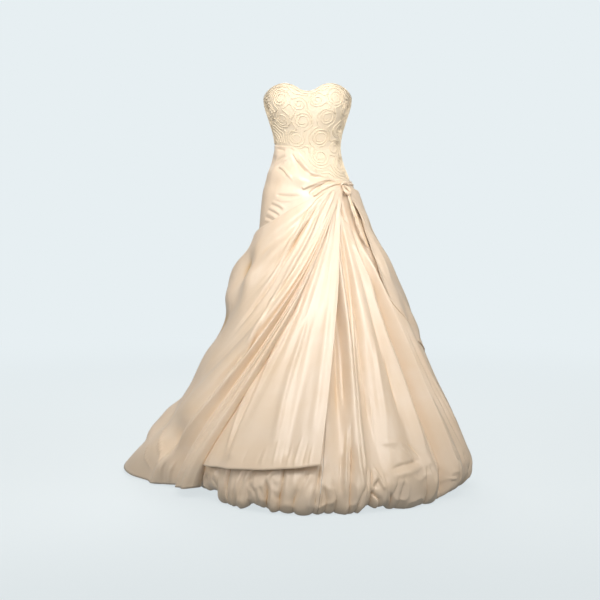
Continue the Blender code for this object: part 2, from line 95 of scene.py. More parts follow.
def table(text):
    """An array of numbers from text, with a comma between its rows."""
    return np.array([[float(number) for number in row.split()] for row in text.split(",")])


def crease_rows(text):
    """Creases from text, parted by semicolons: five sizes, a colon and the points of a line."""
    parted = [row.split(":") for row in text.split(";")]
    return [(*table(sizes)[0], table(line)) for sizes, line in parted]


# The gown's form, with the same sizes as its solids, in metres
WAIST_HEIGHT = 1.12
SATIN = 0.0016
BODICE_WALL = 0.0026
SEAM_GAP = 0.0003
HIP_SEAM_HEIGHT = 1.005
SKIRT_CLEARANCE = 0.0105
KNOT_CLEARANCE = 0.0086
KNOT_AZIMUTH = 57.0
KNOT_HEIGHT = 1.004

# Height, half width right, half width left, depth front, depth back
SECTIONS = table("""
    1.36 .134 .134 .11 .102,
    1.32 .14 .14 .118 .1,
    1.275 .1395 .1395 .119 .097,
    1.22 .124 .124 .11 .091,
    1.17 .109 .109 .096 .084,
    1.12 .1045 .1045 .086 .08,
    1.07 .116 .114 .095 .093,
    1.005 .143 .136 .11 .118,
    .93 .17 .147 .124 .148,
    .85 .2 .154 .149 .178,
    .77 .243 .17 .178 .212,
    .69 .281 .203 .21 .246,
    .53 .35 .262 .276 .33,
    .37 .42 .316 .346 .41,
    .21 .5 .362 .426 .48,
    .1 .536 .382 .48 .505,
    0 .536 .38 .498 .5
""")

# Azimuth, height
NECKLINE = table("""
    0 1.308, 9 1.312, 22 1.328, 38 1.334, 52 1.327, 65 1.314, 80 1.297, 92 1.284, 112 1.268,
    140 1.251, 180 1.243
""")

CUP_AZIMUTH = 35.0
CUP_HEIGHT = 1.262
CUP_WIDTH = 24.0
CUP_RISE = 0.062
CUP_DEPTH = 0.016

# Hem azimuth, half width, height, starts, full, fades, ends (shares of the way down)
SKIRT_FOLDS = table("""
    10.5 4.6 -.036 .12 .4 .62 .86,
    18.5 2.8 .012 .22 .5 .9 1,
    26 5 -.022 .04 .3 .7 .92,
    36 5.5 .008 .1 .5 .85 1,
    43.5 3.2 -.009 .15 .5 .8 .95,
    50 3.2 .014 .1 .5 .92 1,
    57.5 3.8 -.036 .06 .55 .95 1,
    66 4 .013 .12 .55 .95 1,
    74.5 3.4 -.016 .2 .6 .92 1,
    83 4 .009 .25 .6 .95 1,
    92 4 -.018 .25 .6 .95 1,
    101 4.2 .009 .3 .6 .95 1,
    111 4.5 -.018 .3 .6 .95 1,
    121 5 .009 .3 .6 .95 1
""")
# Height, how far inside the widest ring
HEM_ROLL = table("""
    .15 0, .095 -.002, .05 .003, .018 .013, 0 .036, .016 .066, .05 .082
""")
# Azimuth in front, how far the hem's puffs are drawn up there. Another script read where the
# photograph's outline ends under the solids, and these values follow its readings, rounded.
HEM_LIFTS = table("""
    -80 .004, -70 .012, -58 .02, -52 .028, -47 .036, -44.5 .032, -43 0, -29 0, -25 .01, -22 .026,
    -18 .014, -14 .003, -9 .005, -3 0, 19 0, 21 .016, 22.5 .021, 26 .012, 30 .02, 32.5 0, 57 0,
    60 .003, 63 .021, 70 .015, 78 .008, 90 0
""")
# Azimuths of the tucks that show in front
FRONT_TUCKS = table("""
    -80 -72 -62 -52 -44 -38.5 -32 -24 -16.6 -11.2 -5.2 1.9 6.4 10.2 17.8 24 31.9 34.6 48.3 57.2
    68.4 78 88
""")[0]
FRONT_PUFF = 0.013
WIDE_PUFF = 7.5  # degrees from which a puff stands out fully
PUFF_COUNT = 30
REST_GAP = 0.0034  # between the skirt and cloth that rests on it
# Azimuth, half width, height, half height, rise
TRAIN_DENTS = table("""
    -69 9 .7 .07 -.02,
    -53 7 .715 .09 .008,
    -75 7 .165 .085 -.018,
    -86 6 .11 .08 .006,
    -98 36 .545 .085 -.026,
    -98 36 .35 .075 -.018,
    -108 34 .205 .085 -.032
""")
# How far from the train's free edge along its hem, half width, rise
TRAIN_PLEATS = table("""
    .058 .02 -.009, .084 .018 .005, .112 .02 -.008, .142 .02 .006, .172 .022 -.009,
    .215 .026 .006, .262 .024 -.007
""")
# Share of the way down, how far the front sinks where the train's edge lies over it
TRAIN_SHADOW = table("""
    0 0, .18 .001, .4 .0075, .55 .0035, .8 .007, 1 .004
""")
PUFF_HEIGHT = 0.17
PUFF_DEPTH = 0.015
PUFF_TUCK = 0.010

# The overskirt's fold lines, each from the knot to where it ends on the hem or the side seam: end
# azimuth, end height, flare at the end, fold height
FLAP_GUIDES = table("""
    -66 .112 .002 -.002, -56 .1165 .004 .001, -46 .12 .008 .009, -39 .1245 .006 .004,
    -33 .128 .009 .009, -25 .133 .007 .0055, -17 .1385 .009 .007, -10 .144 .007 .0065,
    -4 .149 .009 .009, 1 .155 .011 .013, 4.5 .159 .012 .018
""")
TRAIN_GUIDES = table("""
    -57 .036 .012 .004, -61 .03 .022 .024, -67 .026 .026 .03, -75 .018 .03 .01,
    -84 .008 .042 .018, -89 .004 .1 .032, -95 .004 .15 .01, -102 .006 .205 .024,
    -110 .01 .26 .022, -117 .022 .29 .012
""")
BACK_GUIDES = table("""
    131 .03 .02 .016, 137 .016 .05 .004, 144 .01 .08 .026, 152 .008 .09 .006, 160 .006 .105 .03,
    169 .006 .112 .008, 178 .006 .13 .034, 188 .006 .148 .01, 198 .006 .175 .034, 208 .006 .2 .01,
    218 .008 .235 .036, 228 .012 .262 .016
""")
# The same columns, for the seam between the train and the back, from the hem upwards
SIDE_SEAM_GUIDES = table("""
    -122 .052 .275 .01, -123 .15 .19 .014, -123 .26 .11 .012, -123 .37 .06 .01, -122 .48 .03 .022,
    -121 .58 .02 .012, -120 .67 .014 .018, -118 .735 .008 .01, -116 .785 .004 .004
""")
FLARE_POWER = 5.0  # how late the overskirt flares on its way down
FAN_SPREAD = 2.25  # how soon fold lines open out under the knot
KNOT_PULL = 0.72  # radians that a fold at right angles to the knot is drawn round towards it
ROUND_LIMIT = 60.0  # degrees from centre front past which the fan's lines run round the gown
HEM_DEGREE = 0.0075  # metres of hem in a degree
# Azimuth, half width, height, half height, depth
SWELLS = table("""
    -115 34 .7 .085 .026,
    -118 32 .41 .065 .006,
    -114 14 .19 .062 .04
""")
# Azimuth, height of the top, height of the foot
YOKE_EDGES = table("""
    -180 1.092 .8, -130 1.112 .8, -85 1.136 .8, -55 1.134 .8, -20 1.12 .8, -2 1.088 .83,
    14 1.052 .89, 34 1.031 .956, 52 1.022 .985, 75 1.018 .985, 100 1.022 .965, 150 1.066 .84,
    180 1.092 .8
""")
YOKE_LIFT = 0.0036
YOKE_SEAM_LIFT = 0.0018
# Share of the way from the top edge to the foot, half width, height
YOKE_FOLDS = table("""
    .08 .04 .0026, .15 .05 -.002, .26 .06 .0045, .38 .05 -.002
""")

KNOT_LIFT = 0.0190
RING_TILT = 0.0066
RING_HALF_WIDTH = 0.0105
RING_HALF_HEIGHT = 0.0150
RING_TUBE = 0.0052
BAND_SPAN = 0.038
BAND_TUBE = 0.0048
BAND_LIFT = 0.0176
# Azimuth, height, lift, half width
TAIL_LINE = table("""
    55.6 .9728 .0258 .0038, 56.6 .945 .027 .007, 58 .905 .027 .0085, 60 .87 .024 .0095,
    61.5 .835 .021 .008, 62.5 .806 .019 .003
""")

BUTTON_RADIUS = 0.0058
BUTTON_RISE = 0.0052
BUTTON_STAND = 0.0007  # how far a button's underside stands off the cloth
BUTTON_COUNT = 9
BUTTON_TOP = 1.228
BUTTON_STEP = 0.0150
BUTTON_AZIMUTH = 175.0

RIBBON_PITCH = 0.0086
RIBBON_GAP = 0.0009
RIBBON_STEP = 0.0036
SPIRAL_STEP = 0.0034
APPLIQUE_END = 168.0  # azimuth where the applique stops, short of the buttons
ARC_BLEND = 0.0055  # how softly the arcs round two rosettes join
# Azimuth, height, radius, turns, first angle
ROSETTES = table("""
    -38 1.286 .026 1.9 20, -12 1.268 .018 1.5 200, 14 1.282 .018 1.6 80, 40 1.29 .026 1.9 150,
    64 1.25 .022 1.6 300, -64 1.246 .022 1.6 240, -40 1.222 .022 1.7 120, -8 1.216 .027 2 330,
    30 1.226 .025 1.9 30, 60 1.19 .02 1.5 190, 24 1.162 .03 2.1 260, -22 1.16 .022 1.6 60,
    58 1.128 .022 1.6 10, 26 1.1 .024 1.7 110, 66 1.072 .022 1.6 290, 118 1.185 .026 1.5 70,
    -118 1.185 .026 1.5 250
""")

# Creases. Their points were picked by eye on the photograph, and other scripts brought them to
# azimuths and heights on the solids, evened most lines and scaled some rises and widths. So these
# tables, down to the hem's, are another program's numbers and not typed by hand.
# A row is the rise in mm, the widths to its left and right in mm, the parts of its length over
# which it fades in and out, and its line downwards, as azimuths and heights. These are the
# skirt's, from the right of the flap to the right side.
SKIRT_CREASES = crease_rows("""
    -12 8 9 .25 .3: 27.3 .687, 25.8 .625, 24.3 .548, 22.8 .472, 21.2 .397, 19.7 .331, 18.3 .284;
    6 3 8 .2 .15: 40.7 .759, 36.6 .671, 32.2 .546, 28.2 .442, 25.3 .338, 23.5 .262, 22.3 .17,
        21.2 .084;
    -10 4 5 .15 .4: 46.6 .887, 44.3 .842, 42 .772, 39.8 .696, 37.8 .633, 35.8 .537, 33.8 .475,
        31.6 .378, 29.3 .289;
    4 6 3 .15 .4: 43.3 .868, 40.1 .759, 37 .671, 34.1 .577, 31.4 .485, 28.5 .379;
    8 10 3.5 .1 .15: 50.5 .842, 51.5 .791, 52.7 .735, 54.4 .679, 55.9 .629, 55.8 .563, 54 .48,
        52 .369, 50.7 .293, 49.8 .206, 49 .149;
    -13 5 8 .15 .12: 58.3 .728, 59 .667, 59.5 .619, 59.8 .565, 60 .475, 59.9 .389, 59.6 .326,
        59.5 .256, 59.5 .186, 59.6 .108, 59.7 .072;
    10 8 6 .1 .08: 60.5 .819, 61.4 .725, 62.4 .651, 63.4 .567, 64 .474, 64.1 .38, 63.8 .282,
        63.6 .207, 63.8 .138, 64.1 .068;
    -10 3.5 7.5 .1 .25: 63.1 .913, 63.9 .886, 64.8 .848, 65.7 .818, 67 .773, 69.1 .736, 71.7 .683;
    6 4 4 .15 .3: 74.2 .912, 74.8 .872, 75 .826, 74.8 .774, 74.7 .721, 74.5 .663;
    -4 3 4 .3 .4: 75.9 .874, 78 .815, 80 .765, 81.9 .706, 83.8 .638;
    -5 3 4 .2 .4: 75.2 .394, 75.9 .328, 76.7 .263, 77.5 .189, 78.5 .135;
    4 3 5 .2 .4: 77.5 .393, 78.3 .326, 79.2 .26, 80.1 .192;
    -4 3 3 .3 .3: 76.3 .296, 76.6 .23, 78.5 .168;
    -4 4 4 .3 .3: 73.4 .559, 74.5 .486, 75.4 .414, 76.3 .348;
    -16 3.5 4.5 .1 .3: 52.1 .968, 50.1 .949, 49.5 .93, 50.9 .908, 53.6 .879;
    4 6 8 .3 .4: 42.8 .546, 40.3 .454, 37.9 .357, 35.5 .26, 33.2 .187;
    -4 6 6 .3 .4: 39 .547, 36.9 .448, 34.6 .349, 31.9 .245;
    -4 6 5 .3 .4: 48.5 .497, 46.9 .413, 45.1 .328, 43.1 .254;
    -5 4 7 .3 .3: 42.2 .207, 44.2 .19, 45.9 .168, 47.3 .14;
    4 5 4 .3 .3: 37.5 .197, 40.2 .182, 42.4 .158, 44 .125;
    4 3 3 .3 .3: 30.8 .207, 36 .207, 41.4 .194, 47.1 .153;
    -3 4 3 .3 .3: 30.4 .196, 34.8 .19, 38.3 .176;
    -4 3 3 .3 .4: 31.2 .369, 30.6 .339, 29.8 .304, 28.9 .26;
    3 3 3 .3 .4: 32.8 .357, 31.8 .31, 30.5 .26, 29.1 .202;
    -6 3 4 .2 .5: 20.3 .28, 18.6 .222, 17.2 .16, 16.1 .109;
    5 4 3 .2 .4: 18.5 .265, 16.2 .193, 14.3 .122, 12.8 .063
""")

# Creases of the front of the overskirt
FLAP_CREASES = crease_rows("""
    -5.2 7.5 12 .1 .4: 45.5 .974, 33.9 .932, 23.9 .894, 14.9 .843, 6.9 .787, .4 .737;
    3.6 4.5 6 .1 .4: 44.1 .97, 30.6 .915, 20.2 .873, 12.2 .828, 5.4 .788;
    2.8 3.8 4.5 .1 .4: 46 .975, 36.6 .933, 28.5 .882, 21.4 .831, 15 .781;
    -2.8 3 4.5 .1 .4: 45.3 .972, 38.8 .92, 32.6 .869, 26.8 .818;
    4.8 4.5 12 .15 .1: -12.9 .647, -20.9 .569, -27 .48, -30.8 .373, -33.4 .309, -35.2 .229,
        -36.2 .15;
    5.2 4.5 15 .2 .05: -18.5 .505, -22.9 .437, -26.7 .357, -29.6 .295, -31.6 .226, -32.7 .155;
    -3.2 7.5 6 .2 .2: -18.3 .575, -22.5 .489, -26.5 .403, -29.9 .326, -32.5 .249;
    5.6 13.5 9 .2 .2: .4 .607, -4 .522, -8.1 .443, -11 .357, -12.6 .27, -13.9 .197;
    -4.8 15 21 .25 .1: 7.7 .644, 2.4 .537, -2 .432, -5 .328, -6.8 .227, -7.6 .165;
    4 15 12 .25 .2: 17.4 .675, 11.9 .552, 7.4 .432, 3.9 .315, 1 .215;
    -2.4 9 9 .3 .4: -5.9 .675, -10.3 .598, -13.8 .521, -16.5 .454;
    3.2 9 15 .3 .4: 18.3 .844, 8.6 .762, .9 .675, -5 .589;
    -1.6 3.8 4.5 .4 .05: -17.1 .204, -18.6 .177, -19.3 .154;
    1.6 3.8 4.5 .4 .05: -15.9 .213, -16.9 .182, -17.6 .156;
    2 3.8 4.5 .4 .05: -11.3 .238, -12.3 .198, -12.8 .155;
    -1.4 3.8 4.5 .4 .05: -8.7 .227, -9.5 .193, -9.8 .156;
    1.6 3.8 4.5 .4 .05: -5.8 .222, -6.7 .188, -7.6 .157;
    2 3.8 4.5 .4 .05: -1.8 .24, -3.6 .2, -4.9 .158;
    -1.6 3.8 4.5 .4 .05: .6 .229, -.9 .196, -2 .159;
    1.4 3.8 4.5 .4 .05: 2.5 .219, 1.3 .188, .6 .157;
    -1.4 3.8 4.5 .4 .05: -24 .202, -25.4 .172, -26.1 .148;
    1.6 3.8 4.5 .4 .05: -42.3 .205, -43.8 .167, -44.6 .132;
    -11.2 9 12 .2 .1: 11.6 .826, 5.8 .792, -.7 .746, -7.4 .693, -14 .639, -20.4 .578, -26.7 .522,
        -32.7 .455, -38.8 .402, -45.6 .319, -52.2 .24, -57.8 .174, -62.6 .12
""")

# Creases of the train
TRAIN_CREASES = crease_rows("""
    -13 4 5.5 .1 .25: 13.7 .947, 6.1 .915, -.9 .883, -7.5 .853, -13.6 .822, -19.6 .781,
        -25.4 .737, -30.9 .683, -36.6 .641, -42.5 .596, -48.5 .553, -54.4 .506;
    6 3 3.5 .1 .3: 7 .94, -1.6 .905, -9.4 .864, -16.3 .819, -22.6 .771, -28.7 .717, -35.2 .673,
        -42.1 .627;
    -5 2.5 3 .1 .4: 2.7 .934, -6.8 .896, -14.9 .848, -21.4 .803, -27.1 .761, -32.7 .72, -39 .684,
        -46.5 .639, -54.9 .588;
    9 7 5 .1 .2: 17.5 .943, 6.9 .876, -2.9 .816, -11.4 .763, -18.8 .7, -25.5 .634, -31.5 .556,
        -37.2 .479, -42.8 .398, -48.8 .318;
    9 3 6 .1 .15: -85.4 .197, -84.7 .158, -84 .116, -83.3 .065;
    4 6 5 .3 .4: -78.9 .39, -79.5 .337, -80.3 .284, -81.5 .235;
    5 4 4 .3 .4: -93.7 .143, -92.2 .106, -90.9 .064, -89.5 .027;
    5 3 3 .3 .1: -74.3 .111, -79.2 .064, -83.3 .016;
    -4 3 3 .3 .1: -77.6 .101, -81.8 .053, -86 .005;
    4 3 3 .3 .1: -69.8 .126, -72 .08, -79.3 .032;
    -3 2 3 .1 .4: 27.3 .985, 14.8 .966, 3.2 .934, -7.7 .902;
    3 2 2 .1 .4: 32.2 .989, 20.6 .956, 9.7 .921, -.6 .88;
    -3 2 2 .1 .4: 36.9 .991, 26.9 .956, 17.5 .918, 8.5 .876;
    3.5 2 3 .1 .4: 39.9 .988, 30.6 .95, 21.6 .908, 12.7 .86
""")

# Creases of the hip yoke
YOKE_CREASES = crease_rows("""
    -4.5 2.5 3 .1 .4: -44.9 1.104, -58.2 1.092, -72.4 1.079;
    3.5 2.5 3 .1 .4: -38 1.095, -52.7 1.084, -66.1 1.069;
    -4 2.5 3 .1 .4: -45.7 1.079, -54.6 1.069, -62.5 1.06;
    4 3 3 .2 .4: -58.7 1.068, -44 1.06, -30.9 1.04, -21.9 1.017;
    -4.5 3 3 .2 .3: -58.7 1.06, -49.5 1.058, -40 1.047, -32.3 1.03;
    -6 6 3.5 .2 .3: -32.7 1.112, -26 1.095, -17.7 1.076, -8.1 1.056, 2.5 1.043;
    4 5 4 .3 .3: -20.9 1.111, -12.3 1.089, -2.8 1.066, 9.3 1.047;
    -4 2.5 3 .2 .3: -49.8 1.133, -37.8 1.128, -27 1.118;
    4.5 3 3.5 .3 .3: -64.4 1.134, -56.5 1.135, -45.9 1.133, -27.4 1.124;
    -5 3 3 .3 .3: -58.8 1.135, -52.8 1.134, -45.6 1.133;
    -4 2.5 3 .2 .4: -69.2 1.125, -55.7 1.122, -45.7 1.115;
    -4.5 2.5 6 .2 .4: -51.2 .975, -35.9 .97, -22.7 .969, -6.9 .972;
    3 4 2.5 .2 .4: -50.1 .962, -35.3 .959, -21.6 .959;
    3.5 2.5 3.5 .2 .3: -56.9 .952, -44.1 .946, -30.8 .93;
    -3 2.5 2.5 .2 .3: -58.2 .944, -45.2 .936, -33.2 .92;
    3.5 2.5 3.5 .2 .3: -61.5 .934, -47.7 .926, -35.6 .91;
    -3 2.5 2.5 .2 .3: -61.9 .926, -48.7 .916, -38.1 .904;
    3.5 2.5 3.5 .2 .3: -64.6 .916, -51.6 .908, -40.7 .897;
    -3 2.5 2.5 .2 .3: -65.8 .902, -54.3 .897, -44.9 .887;
    3 2.5 3 .2 .3: -67.6 .892, -55.7 .888, -47.3 .877;
    8 5 3 .2 .05: 50.7 1.024, 37.3 1.027, 22 1.021, 5.4 1.008, -8.7 .995;
    -14 3 3.5 .2 .05: 50.2 1.021, 36.1 1.017, 22.4 1.008, 13.2 .996, 2.2 .977;
    6 3.5 4 .2 .05: 46.2 1.012, 33.9 1.004, 20.9 .992, 8.2 .972;
    -4.5 4 6 .2 .2: 47.2 1.025, 24 1.033, .7 1.036;
    4 4 4 .2 .2: 46.4 1.026, 24.4 1.04, .8 1.05;
    3.5 3 3 .3 .3: 58.2 1.021, 69 1.02, 77 1.014
""")

# Folds and gathers of the bubble hem in front
HEM_CREASES = crease_rows("""
    -11.2 4.4 15 .15 .05: -34.4 .143, -34.6 .107, -35.5 .061, -36 -.004;
    4.8 6.4 6.4 .2 .3: -26.7 .13, -28.7 .089, -31.7 .038;
    -5.6 3.3 9 .2 .05: -24.9 .137, -26.8 .097, -28.8 .048, -30.3 .018, -30.8 -.004;
    4.8 4.8 4.8 .2 .3: -22.1 .142, -24.2 .111, -25.7 .086;
    -8 3.3 12 .1 .3: -19.5 .147, -21.6 .125, -23.3 .1, -24.7 .084;
    -5.6 3.3 9 .2 .05: -24.7 .087, -22.1 .068, -20.2 .049, -19.5 -.004;
    4 4.8 4.8 .3 .3: -17.1 .097, -19.1 .077, -21.2 .06;
    -4.8 3.3 9 .3 .05: -18.7 .09, -18 .069, -17.3 .051, -17 -.004;
    -14.4 2.8 12 .15 .05: -16 .103, -15.9 .077, -15.9 .036, -15.9 -.004;
    7.2 4 6.4 .2 .2: -11.4 .146, -14 .128, -16.2 .105;
    -5.6 3.3 9 .3 .3: -14.7 .099, -12.3 .088, -10.4 .08;
    -4.8 2.8 9 .3 .3: -14.2 .072, -12.2 .058, -11.1 .036;
    -11.2 2.8 9 .1 .05: -9.1 .15, -9.5 .115, -10.1 .077, -10.6 .03, -10.8 -.004;
    4 6.4 4.8 .3 .3: -7.4 .144, -7.9 .105, -8.5 .057;
    -7.2 14.4 3.3 .2 .05: 1.4 .14, -1.2 .103, -3.5 .064, -5.1 .029, -5.6 -.004;
    4 4.8 4.8 .3 .3: 2.1 .134, -.2 .106, -2.3 .07;
    -12 3.3 9 .15 .3: 4.8 .151, 3.9 .112, 3.1 .074;
    4.8 6.4 6.4 .3 .2: 2 .1, .9 .061, .2 .019;
    -6.4 3.3 12 .3 .05: 6 .1, 5.5 .064, 5.1 .026, 4.9 -.004;
    4.8 12.8 12.8 .3 .2: 9.9 .144, 9 .08, 9.9 .022;
    -4 3.3 9 .3 .3: 14.1 .193, 12.4 .122, 11.7 .057;
    6.4 6.4 6.4 .3 .2: 17 .222, 14.7 .137, 13.5 .048;
    -11.2 2.8 9 .15 .05: 19.1 .223, 17.1 .151, 15.8 .094, 15.3 .042, 15.2 -.004;
    4.8 6.4 4.8 .3 .2: 21 .223, 20 .152, 20.4 .063;
    -4.8 3.3 9 .3 .05: 23 .178, 22 .108, 22 .052, 22.1 -.004;
    -8.8 2.8 7.5 .2 .05: 24.7 .139, 24 .105, 23.5 .063, 23.4 -.004;
    7.2 4.8 4 .2 .3: 25.9 .139, 27 .114, 28.1 .083, 29 .059;
    -7.2 4.4 12 .3 .3: 27 .108, 25.3 .085, 24.8 .067;
    -10.4 3.3 9 .3 .05: 23 .057, 25 .042, 26.5 .03, 27 -.004;
    -5.6 4.4 21 .3 .05: 29.3 .136, 29.7 .096, 30.2 .045, 30.5 -.004;
    -9.6 2.8 9 .3 .05: 30.7 .058, 31.6 .032, 32.5 .005, 32.8 -.004;
    -5.6 12 4.4 .3 .3: 31.1 .127, 36.3 .139, 42.1 .143, 47.9 .146;
    5.6 9.6 11.2 .3 .3: 31.1 .104, 36.4 .116, 42.2 .123, 47.8 .134;
    -6.4 3.3 12 .2 .05: 48.1 .134, 47.5 .093, 47.7 .047, 47.9 -.004;
    -4.8 3.3 9 .2 .3: 49.2 .136, 49.4 .106, 50.2 .075;
    -12.8 3.3 12 .2 .05: 59.3 .111, 59.2 .079, 59.3 .04, 59.4 -.004;
    4.8 4 4 .2 .2: 59.7 .049, 60.6 .065, 61.9 .061, 63.7 .049;
    -6.4 3.3 9 .2 .05: 66 .136, 65.1 .1, 65 .057, 65.1 -.004;
    -4 3.3 9 .3 .3: 63.7 .171, 64.9 .141, 69 .102;
    4 4.8 4.8 .3 .3: 63.9 .202, 65.9 .162, 69 .118;
    -4.8 2.8 7.5 .3 .3: 77.8 .13, 77.7 .103, 78.8 .068;
    -8 4.4 12 .2 .05: -59.8 .103, -59.7 .073, -59.2 .035, -58.9 -.004;
    4.8 6.4 6.4 .3 .2: -49 .108, -52 .071, -58.9 .035;
    -4.8 3.3 9 .3 .05: -46.2 .111, -48.6 .076, -50.8 .039, -51.6 -.004;
    5.6 8 8 .3 .2: -42.1 .116, -42.7 .084, -43.8 .054
""")


def curve_through(keys, values, at):
    """Smooth values at some places, on a curve through a table's rows."""
    keys = np.asarray(keys, float)
    values = np.asarray(values, float)
    at = np.clip(at, keys[0], keys[-1])
    slopes = np.gradient(values, keys, axis=0)
    row = np.clip(np.searchsorted(keys, at, side="right") - 1, 0, len(keys) - 2)
    width = keys[row + 1] - keys[row]
    t = (at - keys[row]) / width
    if values.ndim > 1:
        t, width = t[..., None], width[..., None]
    rise = t * t * (3 - 2 * t)
    return (
        values[row] * (1 - rise)
        + values[row + 1] * rise
        + slopes[row] * width * t * (1 - t) ** 2
        - slopes[row + 1] * width * t * t * (1 - t)
    )


def smoothstep(low, high, at):
    t = np.clip((at - low) / (high - low), 0, 1)
    return t * t * (3 - 2 * t)


def between(low, full, fades, gone, at):
    """1 in the middle of a range, rising from its low end and fading to its far one."""
    return smoothstep(low, full, at) * (1 - smoothstep(fades, gone, at))


def bump(distance):
    """A rounded ridge, 1 at its crest and gone by 2.5 half widths."""
    return np.exp(-(distance**2))


def section_radius(azimuth, height):
    """Radius of the gown's smooth form, each quarter of a section being part of an ellipse."""
    sizes = curve_through(SECTIONS[::-1, 0], SECTIONS[::-1, 1:], height)
    right, left, front, back = np.moveaxis(sizes, -1, 0)
    angle = np.radians(azimuth)
    across = np.where(np.sin(angle) >= 0, right, left)
    along = np.where(np.cos(angle) >= 0, front, back)
    return 1 / np.sqrt((np.sin(angle) / across) ** 2 + (np.cos(angle) / along) ** 2)


def cup_rise(azimuth, height):
    side = (np.abs(azimuth) - CUP_AZIMUTH) / CUP_WIDTH
    level = (height - CUP_HEIGHT) / CUP_RISE
    return CUP_DEPTH * np.exp(-(side**2) - level**2)


def point_at(azimuth, height, radius):
    angle = np.radians(azimuth)
    return np.stack(
        [radius * np.sin(angle), -radius * np.cos(angle), height - WAIST_HEIGHT], axis=-1
    )


def seam_angle(radius):
    """Half a seam gap, in degrees at that radius."""
    return math.degrees(SEAM_GAP / 2 / radius)


def around(azimuth):
    """An azimuth brought to between -180 and 180."""
    return (azimuth + 180) % 360 - 180


def ripples(across, along, seed):
    """Smooth uneven waves from -1 to 1, about one unit long, that follow no pattern."""
    lattice = np.random.default_rng(seed).uniform(-1, 1, (97, 89))
    across, along = np.broadcast_arrays(across, along)
    row, column = np.floor(across).astype(int), np.floor(along).astype(int)
    s = smoothstep(0, 1, across - row)
    t = smoothstep(0, 1, along - column)
    corners = [lattice[(row + i) % 97, (column + j) % 89] for i in (0, 1) for j in (0, 1)]
    low = corners[0] * (1 - t) + corners[1] * t
    high = corners[2] * (1 - t) + corners[3] * t
    return low * (1 - s) + high * s


def crumple(across, along, seed):
    """Sharp-edged waves, as stiff satin makes where it is crushed: 0 flat to 1 at a crest."""
    return (1 - np.abs(ripples(across, along, seed))) ** 3


def crease_rise(azimuth, height, radius, creases):
    """How far a table of creases pushes the cloth out at each point of a grid."""
    total = np.zeros(azimuth.shape)
    for rise, left, right, fade_in, fade_out, line in creases:
        line = np.array(line, float)
        count = 5 * (len(line) - 1) + 1
        rows = np.arange(len(line))
        spots = curve_through(rows, line, np.linspace(0, len(line) - 1, count))
        reach = 2.6 * max(left, right) / 1000
        side = around(azimuth - spots[:, 0].mean())
        span = around(spots[:, 0] - spots[:, 0].mean())
        margin = np.degrees(reach / radius)
        near = (height > spots[:, 1].min() - reach) & (height < spots[:, 1].max() + reach)
        near &= (side > span.min() - margin) & (side < span.max() + margin)
        if not near.any():
            continue
        scale = np.radians(radius[near])[:, None]
        du = around(azimuth[near][:, None] - spots[None, :-1, 0]) * scale
        dv = height[near][:, None] - spots[None, :-1, 1]
        tu = np.diff(spots[:, 0])[None, :] * scale
        tv = np.diff(spots[:, 1])[None, :]
        length = tu * tu + tv * tv
        t = np.clip((du * tu + dv * tv) / length, 0, 1)
        away = np.hypot(du - t * tu, dv - t * tv)
        best = away.argmin(axis=1)
        pick = np.arange(len(best))
        sign = np.sign(tu * dv - tv * du)[pick, best]
        along = (best + t[pick, best]) / (count - 1)
        width = np.where(sign < 0, left, right) / 1000 * (0.6 + 0.4 * smoothstep(0, 0.4, along))
        fade = between(0, fade_in, 1 - fade_out, 1, along)
        total[near] += rise / 1000 * bump(away[pick, best] / width) * fade
    return total


def unit(ways):
    """The same ways, each one unit long."""
    return ways / np.linalg.norm(ways, axis=-1, keepdims=True)


def run_of(points):
    """How far along a line each of its points lies."""
    return np.concatenate([[0], np.cumsum(np.linalg.norm(np.diff(points, axis=0), axis=-1))])


def ways_out(points):
    """The way out of the cloth at each point of a grid."""
    return unit(np.cross(np.gradient(points, axis=0), np.gradient(points, axis=1)))


def blurred(values, reach):
    """Values averaged over a square of a grid, running straight on past its edges."""
    for axis in (0, 1):
        size = min(reach, values.shape[axis] - 1)
        pad = [(0, 0)] * values.ndim
        pad[axis] = (size + 1, size)
        wide = np.pad(values, pad, mode="reflect", reflect_type="odd")
        total = np.cumsum(wide, axis=axis)
        high = np.take(total, range(2 * size + 1, total.shape[axis]), axis=axis)
        low = np.take(total, range(0, total.shape[axis] - 2 * size - 1), axis=axis)
        values = (high - low) / (2 * size + 1)
    return values


def painted_shade_mask(points, out, deep):
    """The painted fold shade: how far each point lies down in a fold, from 0 on a ridge to 1."""
    total = np.zeros(points.shape[:2])
    for reach, depth in ((5, 0.0080), (12, deep)):
        sunk = ((blurred(points, reach) - points) * out).sum(-1)
        total = np.maximum(total, smoothstep(0.15, 1.5, sunk / depth))
    return total


